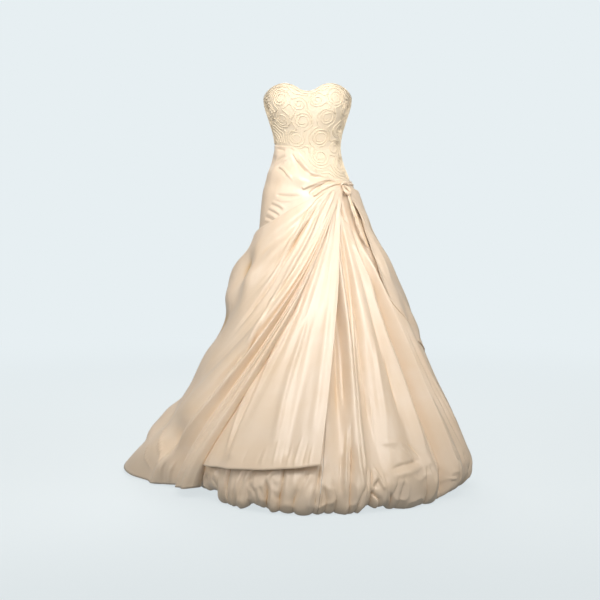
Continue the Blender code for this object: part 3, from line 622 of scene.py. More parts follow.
def shell(name, points, thickness, material, deep):
    """A panel of cloth as a closed thin wall, its inside on a grid of points."""
    rows, columns = points.shape[:2]
    out = ways_out(points)
    outside = points + out * thickness
    # Painted shade for the folds, from how far the outside lies down in them
    painted_fold_shade = painted_shade_mask(outside, out, deep)
    index = np.arange(rows * columns).reshape(rows, columns)
    quads = np.stack(
        [index[:-1, :-1], index[1:, :-1], index[1:, 1:], index[:-1, 1:]], axis=-1
    ).reshape(-1, 4)
    under = quads[:, ::-1] + rows * columns
    rim = np.concatenate(
        [index[0, :-1], index[:-1, -1], index[-1, :0:-1], index[:0:-1, 0]]
    )
    after = np.roll(rim, -1)
    sides = np.stack([rim, after, after + rows * columns, rim + rows * columns], axis=-1)
    vertices = np.concatenate([outside.reshape(-1, 3), points.reshape(-1, 3)])
    faces = np.concatenate([quads, under, sides])
    mesh = bpy.data.meshes.new(name)
    mesh.from_pydata(vertices.tolist(), [], faces.tolist())
    steps = np.linalg.norm(np.diff(outside, axis=1), axis=-1).mean(axis=0)
    drops = np.linalg.norm(np.diff(outside, axis=0), axis=-1).mean(axis=1)
    u = np.broadcast_to(np.concatenate([[0], np.cumsum(steps)])[None, :], (rows, columns))
    v = np.broadcast_to(np.concatenate([[0], np.cumsum(drops)])[:, None], (rows, columns))
    uv = np.tile(np.stack([u, v], axis=-1).reshape(-1, 2), (2, 1))
    finish_mesh(mesh, uv, np.tile(painted_fold_shade.ravel(), 2), material)
    return place(bpy.data.objects.new(name, mesh))


def finish_mesh(mesh, uv, painted_fold_shade, material):
    """Gives a mesh its cloth directions in metres, its painted fold shade and its material."""
    mesh.validate()
    corner = np.zeros(len(mesh.loops), np.int32)
    mesh.loops.foreach_get("vertex_index", corner)
    layer = mesh.uv_layers.new(name="cloth_metres")
    layer.data.foreach_set("uv", np.asarray(uv, np.float32)[corner].ravel())
    # The painted fold shade, which the material reads to darken the colour
    depth = mesh.attributes.new("painted_fold_shade", "FLOAT", "POINT")
    depth.data.foreach_set("value", np.asarray(painted_fold_shade, np.float32))
    mesh.materials.append(material)
    mesh.shade_smooth()
    mesh.update()


def place(piece):
    bpy.context.scene.collection.objects.link(piece)
    return piece


# The bodice, from the hip seam up to the neckline


def bodice_spot(azimuth, height, lift=BODICE_WALL):
    """Points over the bodice at azimuths and heights, and the ways out of it there."""
    azimuth, height = np.broadcast_arrays(np.asarray(azimuth, float), np.asarray(height, float))

    def at(turn, climb):
        a, h = azimuth + turn, height + climb
        return point_at(a, h, section_radius(a, h) + cup_rise(a, h) + lift)

    here = at(0.0, 0.0)
    out = np.cross(at(0.5, 0.0) - at(-0.5, 0.0), at(0.0, 0.002) - at(0.0, -0.002))
    return here, unit(out)


def bodice_points(azimuths, rows):
    top = curve_through(*NECKLINE.T, np.abs(azimuths))
    foot = HIP_SEAM_HEIGHT + SEAM_GAP / 2
    height = foot + (top - foot)[None, :] * np.linspace(1, 0, rows)[:, None]
    azimuth = np.broadcast_to(azimuths, height.shape)
    radius = section_radius(azimuth, height) + cup_rise(azimuth, height)
    pull = ripples(azimuth / 7.0, height / 0.024, 11) * 0.0007
    return point_at(azimuth, height, radius + pull * np.clip(np.cos(np.radians(2 * azimuth)), 0, 1))


def yoke_points(azimuths, rows):
    """The yoke's inside, with its creases."""
    edges = curve_through(YOKE_EDGES[:, 0], YOKE_EDGES[:, 1:], azimuths)
    top, foot = edges.T
    share = np.linspace(0, 1, rows)[:, None]
    height = top[None, :] + (foot - top)[None, :] * share
    azimuth = np.broadcast_to(azimuths, height.shape)
    rise = sum(size * bump((share - at) / wide) for at, wide, size in YOKE_FOLDS)
    shown = between(-110, -60, 70, 110, azimuth)
    lift = YOKE_SEAM_LIFT + (YOKE_LIFT - YOKE_SEAM_LIFT) * smoothstep(0, 0.14, share)
    radius = section_radius(azimuth, height) + BODICE_WALL + lift + rise * shown
    creases = crease_rise(azimuth, height, radius, YOKE_CREASES)
    soft = ripples(azimuth / 11.0, height / 0.035, 21) * 0.0012
    away = height - 0.0016 - top[None, :]
    return point_at(azimuth, height, radius + (creases + soft) * smoothstep(0.0, 0.004, -away))


# The skirt and its bubble hem


def fan_share(share):
    return FAN_SPREAD * share / (1 + (FAN_SPREAD - 1) * share)


def swing(hem_azimuth, share):
    """How far skirt folds draw together under the knot, in degrees, part of the way down."""
    most = math.degrees(KNOT_PULL) * np.sin(np.radians(hem_azimuth - KNOT_AZIMUTH))
    return most * (1 - fan_share(share))


def puff_edges():
    """Azimuths of the tucks in the bubble hem, and the height of the puffs between them."""
    chance = np.random.default_rng(7)
    widths = 1 + 0.45 * chance.uniform(-1, 1, PUFF_COUNT)
    edges = np.concatenate([[0], np.cumsum(widths)]) / widths.sum() * 360 - 180
    return edges, chance.uniform(0.55, 1.0, PUFF_COUNT)


def puff_fullness(hem_azimuth):
    """How full the bubble hem is: 0 at its tucks, up to 1 between them."""
    edges, heights = puff_edges()
    turned = around(np.asarray(hem_azimuth))
    puff = np.clip(np.searchsorted(edges, turned, side="right") - 1, 0, PUFF_COUNT - 1)
    share = (turned - edges[puff]) / (edges[puff + 1] - edges[puff])
    return np.sqrt(np.clip(4 * share * (1 - share), 0, 1)) * heights[puff]


def puff_middle(near):
    """Azimuth of the middle of the puff that is nearest to an azimuth."""
    edges, _ = puff_edges()
    middles = (edges[:-1] + edges[1:]) / 2
    away = around(middles - near)
    return near + away[np.argmin(np.abs(away))]


def puff_rise(hem_azimuth, height):
    fade = 1 - smoothstep(0.04, PUFF_HEIGHT, height)
    return PUFF_DEPTH * (puff_fullness(hem_azimuth) - 0.6) * fade


def front_fullness(turn):
    """The same for the tucks that show in front: narrow puffs stand out less than wide ones."""
    puff = np.clip(np.searchsorted(FRONT_TUCKS, turn, side="right") - 1, 0, len(FRONT_TUCKS) - 2)
    width = FRONT_TUCKS[puff + 1] - FRONT_TUCKS[puff]
    share = np.clip((turn - FRONT_TUCKS[puff]) / width, 0, 1)
    return np.sqrt(4 * share * (1 - share)) * np.minimum(1, np.sqrt(width / WIDE_PUFF))


def hem_puckers():
    """Creases up from each hidden tuck in the bubble hem, each of its own length and lean."""
    edges, _ = puff_edges()
    chance = np.random.default_rng(12)
    made = []
    for edge in edges[:-1]:
        if -72 < edge < 78:
            continue
        reach = chance.uniform(0.07, 0.17)
        lean = chance.uniform(-1.6, 1.6)
        line = ((edge, 0.0), (edge + 0.2 * lean, 0.4 * reach), (edge + lean, reach))
        made.append((-11, 4, 4, 0.02, 0.7, line))
        for side in (-1, 1):
            foot = edge + side * chance.uniform(0.7, 1.2)
            far = side * chance.uniform(1.6, 3.4)
            tall = reach * chance.uniform(0.5, 0.95)
            line = ((foot, 0.006), (foot + 0.3 * far, 0.5 * tall), (foot + far, tall))
            made.append((chance.uniform(2.5, 5.0), 3.2, 3.2, 0.1, 0.6, line))
            foot += side * 0.8
            line = ((foot, 0.012), (foot + 0.5 * far, 0.5 * tall), (foot + 1.5 * far, 0.9 * tall))
            made.append((-chance.uniform(1.5, 3.5), 2.6, 2.6, 0.1, 0.6, line))
    return made


def skirt_fold_rise(hem_azimuth, share):
    total = np.zeros(np.broadcast(hem_azimuth, share).shape)
    for azimuth, half_width, height, starts, full, fades, ends in SKIRT_FOLDS:
        along = smoothstep(starts, full, share) * (1 - 0.75 * smoothstep(fades, ends, share))
        total += height * bump((hem_azimuth - azimuth) / half_width) * along
    return total


def skirt_rows(rows):
    """(height, how far inside the widest ring) down the skirt and round its rolled hem."""
    upper = (HIP_SEAM_HEIGHT - 2 * SEAM_GAP, 0.94, 0.86, 0.76, 0.65, 0.54, 0.43, 0.32, 0.23)
    levels = np.array([(height, 0.0) for height in upper] + list(HEM_ROLL))
    where = np.interp(np.linspace(0, 1, rows), (0, 0.56, 0.70, 0.94, 1), (0, 8, 9.6, 13.4, 15))
    return curve_through(np.arange(len(levels)), levels, where)


def skirt_points(low, high, columns, rows, creases):
    """A gore's inside, its side edges each half a seam inside the azimuths given."""
    hem_azimuths = np.linspace(low, high, columns)
    height, inside = np.split(skirt_rows(rows), 2, axis=1)
    share = np.clip((HIP_SEAM_HEIGHT - height) / HIP_SEAM_HEIGHT, 0, 1)
    share = np.maximum.accumulate(share, axis=0)
    azimuth = hem_azimuths[None, :] - swing(hem_azimuths[None, :], share)
    edge = np.degrees(SEAM_GAP / section_radius(azimuth[:, 0], height[:, 0]))
    azimuth[:, 0] += edge
    azimuth[:, -1] -= edge
    hem = np.broadcast_to(hem_azimuths, azimuth.shape)
    level = np.broadcast_to(height, azimuth.shape)
    share = np.broadcast_to(share, azimuth.shape)
    turn = around(hem)
    shown = between(-76, -66, 70, 82, turn)
    lean = turn + 3.0 * ripples(turn / 9.0 + 60, level / 0.12, 35) * smoothstep(0.0, 0.10, level)
    front = front_fullness(lean) * shown
    rise = skirt_fold_rise(hem, share) + puff_rise(hem, level) * (1 - shown)
    rise = rise + FRONT_PUFF * (front - 0.6 * shown) * (1 - smoothstep(0.03, 0.145, level))
    ring = section_radius(azimuth, level)
    tucked = PUFF_TUCK * (1 - puff_fullness(hem)) * (1 - shown) + 0.008 * (shown - front)
    tucked = (tucked + np.interp(turn, *HEM_LIFTS.T)) * (1 - smoothstep(0.0, 0.13, level))
    rise = rise + crease_rise(azimuth, level, ring, creases)
    fine = 0.0007 * ripples(turn / 2.1 + 60, share * 3.1, 31)
    fine = fine + 0.0016 * ripples(turn / 5.3 + 60, share * 2.2, 32)
    low_down = 1 - smoothstep(0.04, 0.22, level)
    crushed = 0.0030 * ripples(turn / 4.4 + 60 + 1.5 * share, level / 0.055, 33)
    crushed += 0.0045 * (crumple(turn / 4.0 + 90 - 2.0 * share, level / 0.060, 34) - 0.4)
    rise = rise + fine * smoothstep(0.03, 0.2, share) + crushed * low_down
    radius = ring - inside + rise * (1 - 0.8 * smoothstep(0.05, 0.08, inside))
    return point_at(azimuth, level + tucked, radius)


def skirt_top(azimuth, height):
    """How far out cloth lies that rests on the skirt."""
    share = np.clip((HIP_SEAM_HEIGHT - height) / HIP_SEAM_HEIGHT, 0, 1)
    hem = azimuth
    for _ in range(12):
        hem = azimuth + swing(hem, share)
    rise = skirt_fold_rise(hem, share)
    ring = section_radius(azimuth, height)
    return ring + rise + crease_rise(azimuth, height, ring, SKIRT_CREASES) + SATIN + REST_GAP


# The overskirt, which fans out of the knot


def turned(azimuth):
    """A measure of azimuth that makes fold lines look straight from the front."""
    beyond = np.radians(np.clip(np.abs(azimuth) - ROUND_LIMIT, 0, None))
    inner = np.sin(np.radians(np.clip(azimuth, -ROUND_LIMIT, ROUND_LIMIT)))
    return inner + np.sign(azimuth) * beyond * math.cos(math.radians(ROUND_LIMIT))


def turned_back(measure):
    """The azimuth of such a measure."""
    limit, slope = math.sin(math.radians(ROUND_LIMIT)), math.cos(math.radians(ROUND_LIMIT))
    inner = np.degrees(np.arcsin(np.clip(measure, -limit, limit)))
    beyond = np.degrees(np.clip(np.abs(measure) - limit, 0, None) / slope)
    return inner + np.sign(measure) * beyond


def swell_rise(azimuth, height):
    """Where the overskirt puffs out: full in the middle and tucked in all round."""
    total = 0.0
    for middle, half_width, level, half_height, depth in SWELLS:
        side = around(azimuth - middle) / half_width
        total = total + depth * np.exp(-(((height - level) / half_height) ** 4) - side**4)
    return total


def guide_ends(tables):
    """Where each column of a fan ends. Each table is a smooth run, with corners between runs."""
    runs = []
    for rows, columns in tables:
        rows = np.array(rows, float)
        where = np.linspace(0, len(rows) - 1, columns)
        runs.append(curve_through(np.arange(len(rows)), rows, where)[1 if runs else 0 :])
    return np.concatenate(runs).T


def fan_points(tables, rows, start, lift, reach, sweep, creases, gathers):
    """The inside of a panel that fans out of the knot, as its tables say, with its creases.

    A panel with a side seam has that seam in its second table. Its free edge lies on the cloth
    under it, and sweeps round to the front under the knot. Columns run the way azimuth grows.
    """
    # Where each column ends, and which columns end on the side seam
    ends = guide_ends(tables)
    seam = np.arange(ends.shape[1]) >= tables[0][1]
    if ends[0, 0] > ends[0, -1]:
        ends, seam = ends[:, ::-1], seam[::-1]
    end_azimuth, end_height, flare, fold = ends

    # Lines that look straight from the front, with rows closer together near the knot
    share = np.interp(np.linspace(0, 1, rows), (0, 0.12, 0.4, 1), (0.013, 0.06, 0.3, 1))[:, None]
    spread = fan_share(share)
    measure = turned(KNOT_AZIMUTH) * (1 - spread) + turned(end_azimuth)[None, :] * spread
    azimuth = turned_back(measure)
    steps = np.hypot(np.diff(end_azimuth) * HEM_DEGREE, np.diff(end_height))
    across = np.concatenate([[0], np.cumsum(steps)])[None, :]
    edge = across if seam[-1] else across[:, -1:] - across
    swept = between(0.03, 0.36, 0.38, 0.80, share)
    azimuth = azimuth - sweep * swept * (1 - smoothstep(0.0, 0.45, edge))

    # How far out the cloth lies: over the cloth under it, with its folds, flare and swells
    height = KNOT_HEIGHT + (end_height[None, :] - KNOT_HEIGHT) * share
    rise = flare[None, :] * share**FLARE_POWER + fold[None, :] * smoothstep(0.04, 0.45, share)
    rise = rise + swell_rise(azimuth, height)
    clear = KNOT_CLEARANCE + start
    clear = clear + (SKIRT_CLEARANCE + lift - clear) * smoothstep(0.02, 0.09, share)
    radius = section_radius(azimuth, height) + clear + rise
    for middle, half_width, level, half_height, size in TRAIN_DENTS:
        dent = bump(around(azimuth - middle) / half_width) * bump((height - level) / half_height)
        radius = radius + size * dent * seam.any()

    # The free edge rests on the skirt. The front, which has no side seam, sinks under the train
    if seam.any():
        near = 0.4 * smoothstep(0.10, 0.16, share) + 0.6 * smoothstep(0.22, 0.34, share)
        near = near * (1 - smoothstep(0.0, reach, edge * share))
        radius = radius + (np.minimum(radius, skirt_top(azimuth, height)) - radius) * near
        for at, wide, size in TRAIN_PLEATS if seam[0] else ():
            radius = radius + size * bump((edge - at) / wide) * smoothstep(0.12, 0.5, share)
    else:
        down = (KNOT_HEIGHT - height) / (KNOT_HEIGHT - TRAIN_GUIDES[0][1])
        down = fan_share(np.clip(down, 0, 1))
        line = turned(KNOT_AZIMUTH) * (1 - down) + turned(TRAIN_GUIDES[0][0]) * down
        away = np.radians(azimuth - turned_back(line)) * radius
        radius = radius - np.interp(share, *TRAIN_SHADOW.T) * (1 - smoothstep(-0.001, 0.017, away))

    # Ripples that fade out at the knot and towards the side seam, and the creases
    points = point_at(azimuth, height, radius)
    fine = 0.0005 * ripples(across / 0.045, share * 2.0, 51)
    fine = fine + 0.0002 * ripples(across / 0.015, share * 3.4, 52)
    fine = fine + 0.0008 * ripples(across / 0.090, share * 9.0, 53)
    fine = fine + gathers * ripples(across / 0.070, share * 1.4, 54) * smoothstep(0.1, 0.6, share)
    fine = fine * smoothstep(0.03, 0.25, share) * (1 - seam * smoothstep(0.86, 0.99, share))
    pushed = crease_rise(azimuth, height, radius, creases) + fine
    return points + ways_out(points) * pushed[..., None]


# Ribbon applique on the bodice


def spiral(azimuth, height, radius, turns, first):
    """A rosette's line, as rows of (azimuth, height), wound inwards on the bodice."""
    length = math.pi * turns * (2 * radius - turns * RIBBON_PITCH)
    share = np.linspace(0, 1, max(24, round(length / SPIRAL_STEP)))
    scale = math.degrees(1 / float(section_radius(azimuth, height)))
    reach = radius - RIBBON_PITCH * turns * share
    angle = np.radians(first + 360 * turns * share)
    return np.stack(
        [azimuth + scale * reach * np.cos(angle), height + reach * np.sin(angle)], axis=-1
    )


def level_lines(values, level):
    """Lines along which a grid of values has a level, as rows of (row, column) places."""
    rows, columns = values.shape
    index = np.arange(rows * columns).reshape(rows, columns)
    a, b = index[:-1, :-1].ravel(), index[:-1, 1:].ravel()
    c, d = index[1:, 1:].ravel(), index[1:, :-1].ravel()
    triangles = np.concatenate([np.stack([a, b, c], axis=1), np.stack([a, c, d], axis=1)])
    flat = values.ravel() - level
    count = (flat[triangles] > 0).sum(axis=1)
    known = np.isfinite(flat[triangles]).all(axis=1)
    joined = {}
    for corners in triangles[known & (count % 3 != 0)].tolist():
        cut = []
        for k in range(3):
            i, j = sorted((corners[k], corners[(k + 1) % 3]))
            if (flat[i] > 0) != (flat[j] > 0):
                cut.append((i, j))
        joined.setdefault(cut[0], []).append(cut[1])
        joined.setdefault(cut[1], []).append(cut[0])
    ends = [edge for edge, others in joined.items() if len(others) == 1]
    lines = []
    for first in ends + list(joined):
        if first not in joined:
            continue
        line = [first]
        while joined.get(line[-1]):
            after = joined[line[-1]].pop()
            if line[-1] in joined.get(after, []):
                joined[after].remove(line[-1])
            line.append(after)
        for edge in line:
            if edge in joined and not joined[edge]:
                del joined[edge]
        low, high = np.array(line).T
        t = (flat[low] / (flat[low] - flat[high]))[:, None]
        ends_at = [np.stack([k // columns, k % columns], axis=-1) for k in (low, high)]
        lines.append(ends_at[0] * (1 - t) + ends_at[1] * t)
    return lines


def spaced(line, step):
    """A line of (azimuth, height) smoothed and given even steps, in metres."""
    point, _ = bodice_spot(line[:, 0], line[:, 1])
    run = run_of(point)
    if run[-1] < 3 * step:
        return None
    count = max(5, round(run[-1] / step))
    at = np.linspace(0, run[-1], count)
    even = np.stack([np.interp(at, run, line[:, k]) for k in (0, 1)], axis=-1)
    for _ in range(2):
        even[1:-1] = (even[:-2] + 2 * even[1:-1] + even[2:]) / 4
    return even


def applique_lines(pitch):
    """Where ribbons run: wound into rosettes, in arcs round them, and along the edges."""
    lines = [spiral(*row) for row in ROSETTES]
    azimuths = np.linspace(-171, 171, 400)
    heights = np.linspace(1.0, 1.34, 170)
    azimuth, height = np.meshgrid(azimuths, heights)
    near = 0.0
    for middle, level, radius, _, _ in ROSETTES:
        ring = section_radius(azimuth, height)
        away = np.hypot(np.radians(azimuth - middle) * ring, height - level) - radius
        near = near + np.exp(-away / ARC_BLEND)
    field = -ARC_BLEND * np.log(near) + 0.0016 * ripples(azimuth / 9.0 + 30, height / 0.02, 41)
    top = curve_through(*NECKLINE.T, np.abs(azimuths))
    foot = curve_through(YOKE_EDGES[:, 0], YOKE_EDGES[:, 1], azimuths)
    bare = (height > top[None, :] - 0.006) | (height < foot[None, :] + 0.004)
    field[bare | (np.abs(azimuth) > APPLIQUE_END)] = np.nan
    for number in range(9):
        for line in level_lines(field, pitch * (0.45 + number)):
            row, column = line.T
            along = np.interp(column, np.arange(len(azimuths)), azimuths)
            lines.append(
                np.stack([along, np.interp(row, np.arange(len(heights)), heights)], axis=-1)
            )
    for drop in (-0.0006, 0.0064):
        lines.append(np.stack([azimuths, top - drop + 0.0012 * np.sin(azimuths * 1.9)], axis=-1))
    for side in (-1, 1):
        level = np.linspace(1.03 if side > 0 else 1.14, 1.285, 120)
        for off in (-3.5, 0.5, 4.5):
            wave = 1.4 * np.sin(level * 190 + off)
            lines.append(np.stack([side * (91 + off) + wave, level], axis=-1))
    return lines


def ribbon_strips(lines, width, rise, chance):
    """Ribbons that stand on edge along lines on the bodice, as one mesh's parts."""
    section = np.array([(-1, 0), (-1.05, 0.55), (-0.45, 1.0), (0.45, 1.0), (1.05, 0.55), (1, 0)])
    vertices, faces, uv = [], [], []
    start = 0
    for line in lines:
        line = spaced(line, RIBBON_STEP)
        if line is None:
            continue
        here, out = bodice_spot(line[:, 0], line[:, 1])
        across = np.cross(unit(np.gradient(here, axis=0)), out)
        count = len(line)
        run = np.arange(count) * RIBBON_STEP
        phase = chance.uniform(0, 6.28)
        frill = 0.0006 * np.sin(run * 780 + phase) + 0.0005 * np.sin(run * 310 + 2 * phase)
        tall = rise * (1 + 0.16 * np.sin(run * 430 + 3 * phase)) * chance.uniform(0.85, 1.15)
        taper = np.clip(np.minimum(np.arange(count), np.arange(count)[::-1]) / 2.0, 0.25, 1)
        for side, high in section:
            point = here + out * (RIBBON_GAP + tall * high * taper)[:, None]
            point = point + across * (side * width / 2 * taper + frill * high)[:, None]
            vertices.append(point)
            uv.append(np.stack([run, np.full(count, (side + 2 * high) * 0.002)], axis=-1))
        base = start + np.arange(6)[:, None] * count + np.arange(count)[None, :]
        after = np.roll(base, -1, axis=0)
        quads = np.stack([base[:, :-1], after[:, :-1], after[:, 1:], base[:, 1:]], axis=-1)
        faces += quads.reshape(-1, 4).tolist()
        faces.append(base[:, 0][::-1].tolist())
        faces.append(base[:, -1].tolist())
        start += 6 * count
    return np.concatenate(vertices), faces, np.concatenate(uv)


def lathe(spot, out, profile, corners):
    """A small round part, turned about its way out, with its profile in rings."""
    side = np.cross((0, 0, 1.0), out)
    side = side / np.linalg.norm(side)
    up = np.cross(out, side)
    vertices, faces = [], []
    for reach, rise in profile:
        for angle in np.linspace(0, 2 * math.pi, corners, endpoint=False):
            around_it = (side * math.cos(angle) + up * math.sin(angle)) * reach
            vertices.append(spot + around_it + out * rise)
    last = (len(profile) - 1) * corners
    for low in range(0, last, corners):
        for k in range(corners):
            n = (k + 1) % corners
            faces.append((low + k, low + n, low + corners + n, low + corners + k))
    faces.append(list(range(corners))[::-1])
    faces.append(list(range(last, last + corners)))
    return vertices, faces


def ring_mesh(name, rings, material, closed=False):
    """A solid through rings of points, its ends filled unless the rings meet."""
    count, corners = rings.shape[:2]
    index = np.arange(count * corners).reshape(count, corners)
    low = index if closed else index[:-1]
    high = np.roll(index, -1, axis=0) if closed else index[1:]
    quads = np.stack([low, np.roll(low, -1, axis=1), np.roll(high, -1, axis=1), high], axis=-1)
    faces = quads.reshape(-1, 4).tolist()
    if not closed:
        faces += [index[0, ::-1].tolist(), index[-1].tolist()]
    mesh = bpy.data.meshes.new(name)
    mesh.from_pydata(rings.reshape(-1, 3).tolist(), [], faces)
    run = run_of(rings.mean(axis=1))
    round_it = np.linspace(0, 0.03, corners)
    uv = np.stack(np.broadcast_arrays(round_it[None, :], run[:, None]), axis=-1).reshape(-1, 2)
    # Painted shade where the knot's cloth is drawn in thinner than round it
    middle = rings.mean(axis=1, keepdims=True)
    size = np.linalg.norm(rings - middle, axis=-1)
    sunk = smoothstep(1.0, 0.72, size / blurred(size[..., None], 2)[..., 0])
    finish_mesh(mesh, uv, sunk.ravel(), material)
    repair_normals(mesh)
    return place(bpy.data.objects.new(name, mesh))


def repair_normals(mesh):
    """Turns every face outwards."""
    shaping = bmesh.new()
    shaping.from_mesh(mesh)
    bmesh.ops.recalc_face_normals(shaping, faces=shaping.faces)
    shaping.to_mesh(mesh)
    shaping.free()


def surface_frame(azimuth, height, lift):
    """A point over the gown's form, with the way round it, up it and out from it."""
    here, aside, above = (
        Vector(point_at(a, h, section_radius(a, h) + lift))
        for a, h in ((azimuth, height), (azimuth + 0.5, height), (azimuth, height + 0.002))
    )
    side = (aside - here).normalized()
    up = (above - here).normalized()
    return [np.array(way) for way in (here, side, up, side.cross(up).normalized())]


# Materials


def linear(colour):
    """An sRGB hex colour as linear light."""
    parts = [int(colour[k : k + 2], 16) / 255 for k in (1, 3, 5)]
    return [p / 12.92 if p <= 0.04045 else ((p + 0.055) / 1.055) ** 2.4 for p in parts]


def add(tree, kind, settings=(), links=()):
    """Adds a node with its settings, and gives its inputs values or other nodes' outputs."""
    node = tree.nodes.new(kind)
    for name, value in dict(settings).items():
        setattr(node, name, value)
    for name, value in dict(links).items():
        if isinstance(value, bpy.types.NodeSocket):
            tree.links.new(value, node.inputs[name])
        else:
            node.inputs[name].default_value = value
    return node


def cloth(name, face, deep, weave, **finish):
    """A cloth whose colour is painted darker in its creases, as shade, towards the deep colour.
    weave is its bump: scales and heights.
    """
    made = bpy.data.materials.get(name)
    if made:
        return made
    made = bpy.data.materials.new(name)
    made.use_nodes = True
    tree = made.node_tree
    tree.nodes.clear()
    metres = add(tree, "ShaderNodeUVMap", {"uv_map": "cloth_metres"}).outputs["UV"]
    # Painted shade: the mesh's painted fold shade turns the colour to the deep colour, and a random
    # cloud of tone turns it up to 0.16 of the way, where that is more
    painted_fold_shade = add(tree, "ShaderNodeAttribute", {"attribute_name": "painted_fold_shade"}).outputs["Fac"]
    cloud = add(
        tree, "ShaderNodeTexNoise", links={"Vector": metres, "Scale": 9.0, "Detail": 3.0}
    ).outputs["Fac"]
    shade = add(
        tree,
        "ShaderNodeMapRange",
        links={"Value": cloud, "From Min": 0.35, "From Max": 0.65, "To Min": 0.0, "To Max": 0.16},
    ).outputs["Result"]
    depth = add(tree, "ShaderNodeMath", {"operation": "MAXIMUM"}, {0: painted_fold_shade, 1: shade}).outputs[0]
    colour = add(
        tree,
        "ShaderNodeMix",
        {"data_type": "RGBA"},
        {0: depth, 6: (*face, 1.0), 7: (*deep, 1.0)},
    ).outputs[2]
    normal = None
    for (across, along), height in weave:
        spread = add(
            tree, "ShaderNodeMapping", links={"Vector": metres, "Scale": (across, along, 1.0)}
        ).outputs["Vector"]
        grain = add(
            tree,
            "ShaderNodeTexNoise",
            links={"Vector": spread, "Scale": 1.0, "Detail": 2.0, "Roughness": 0.6},
        ).outputs["Fac"]
        links = {"Height": grain, "Distance": height, "Strength": 1.0}
        if normal:
            links["Normal"] = normal
        normal = add(tree, "ShaderNodeBump", links=links).outputs["Normal"]
    surface = add(
        tree, "ShaderNodeBsdfPrincipled", links={"Base Color": colour, "Normal": normal, **finish}
    )
    add(tree, "ShaderNodeOutputMaterial", links={"Surface": surface.outputs["BSDF"]})
    return made


def duchess_satin(colours):
    """Duchess satin: silk-like yarns floated over many threads and calendered.

    The floats give a soft, wide sheen, and slubs in the yarn give short raised streaks. The yarns
    are about 0.08 mm apart, too fine to show, so they are drawn 6 times coarser. Its folds look
    golden, because light goes from cloth to cloth in them, and that golden shade is painted into
    the colour of its creases.
    """
    return cloth(
        "duchess_satin",
        colours.satin,
        colours.satin_fold_shade,
        (((55.0, 16.0), 0.0006), ((420.0, 130.0), 0.00022), ((2000.0, 700.0), 0.00004)),
        **{"Roughness": 0.35, "Specular IOR Level": 0.7},
        **{"Sheen Weight": 0.12, "Sheen Roughness": 0.4},
    )


def boned_lace(colours):
    """Corded lace laid flat over a boned cotton lining.

    It is matt, with cords about 1 mm thick that wander over a net, and it gives no sheen.
    """
    return cloth(
        "corded_lace",
        colours.lace,
        colours.lace_fold_shade,
        (((260.0, 260.0), 0.0009), ((900.0, 900.0), 0.0004)),
        **{"Roughness": 0.8, "Sheen Weight": 0.1},
    )


def woven_ribbon(colours):
    """Grosgrain ribbon: cotton ribs across, gathered along one edge and sewn on by it.

    The ribs are 0.5 mm apart and give a dry, slightly stepped edge with a weak sheen.
    """
    return cloth(
        "grosgrain_ribbon",
        colours.ribbon,
        colours.lace_fold_shade,
        (((2000.0, 90.0), 0.0002), ((160.0, 160.0), 0.0004)),
        **{"Roughness": 0.62, "Sheen Weight": 0.15},
    )


def button_satin(colours):
    """The gown's satin pulled tight over domed button blanks, so it is smoother and glossier."""
    return cloth(
        "covered_button_satin",
        colours.satin,
        colours.satin_fold_shade,
        (((900.0, 900.0), 0.00006),),
        **{"Roughness": 0.34, "Sheen Weight": 0.1},
    )


# The gown's pieces


def dress(piece, slot, *nodes):
    """Hangs a piece on the gown's body in place of solids."""
    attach(piece, "root")
    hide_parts(*nodes)
    return piece


def panel(node, points, thickness, material, slot, *resting):
    """Cloth in place of one solid."""
    # How deep a broad hollow is before it takes the full painted fold shade
    deep = 0.010 if node.startswith("skirt") else 0.020
    piece = dress(shell(f"{node}_cloth", points, thickness, material, deep), slot, node)
    return piece


def add_bodice(sizes, colours):
    gap = seam_angle(0.1)
    material = boned_lace(colours)
    for node, low, high, columns, rows in (
        ("bodice_front", -90, 90, 130, 70),
        ("bodice_back_right", 90, 180, 60, 50),
        ("bodice_back_left", -180, -90, 60, 50),
    ):
        points = bodice_points(np.linspace(low + gap, high - gap, columns), rows)
        panel(node, points, BODICE_WALL, material, "cream_bodice_cloth")


def add_ribbons(sizes, colours):
    chance = np.random.default_rng(3)
    lines = applique_lines(sizes.ribbon_spacing)
    vertices, faces, uv = ribbon_strips(lines, sizes.ribbon_thickness, sizes.ribbon_rise, chance)
    mesh = bpy.data.meshes.new("bodice_ribbons")
    mesh.from_pydata(vertices.tolist(), [], faces)
    finish_mesh(mesh, uv, np.zeros(len(vertices)), woven_ribbon(colours))
    piece = place(bpy.data.objects.new("bodice_ribbons", mesh))
    nodes = [f"rosette_{number:02d}" for number in range(1, len(ROSETTES) + 1)]
    dress(piece, "cream_ribbon", *nodes)


def add_buttons(sizes, colours):
    profile = table(".8 0, .97 .06, 1 .2, .95 .42, .8 .7, .55 .9, .22 1")
    material = button_satin(colours)
    for number in range(BUTTON_COUNT):
        height = BUTTON_TOP - BUTTON_STEP * number
        spot, out = bodice_spot(BUTTON_AZIMUTH, height, BODICE_WALL + BUTTON_STAND)
        vertices, faces = lathe(spot, out, profile * (sizes.button_radius, BUTTON_RISE), 28)
        mesh = bpy.data.meshes.new(f"covered_button_{number + 1}")
        mesh.from_pydata([tuple(v) for v in vertices], [], faces)
        uv = np.array(vertices)[:, [0, 2]]
        finish_mesh(mesh, uv, np.zeros(len(vertices)), material)
        piece = place(bpy.data.objects.new(f"covered_button_{number + 1}", mesh))
        dress(piece, "covered_button_satin", f"back_button_{number + 1}")


def add_yoke(sizes, colours):
    gap = seam_angle(0.14)
    material = duchess_satin(colours)
    for node, low, high, columns, rows in (
        ("hip_yoke_front", -90, 90, 190, 90),
        ("hip_yoke_back_left", -180, -90, 60, 44),
        ("hip_yoke_back_right", 90, 180, 60, 44),
    ):
        points = yoke_points(np.linspace(low + gap, high - gap, columns), rows)
        panel(node, points, sizes.satin_thickness, material, "ivory_satin", "bodice_front")


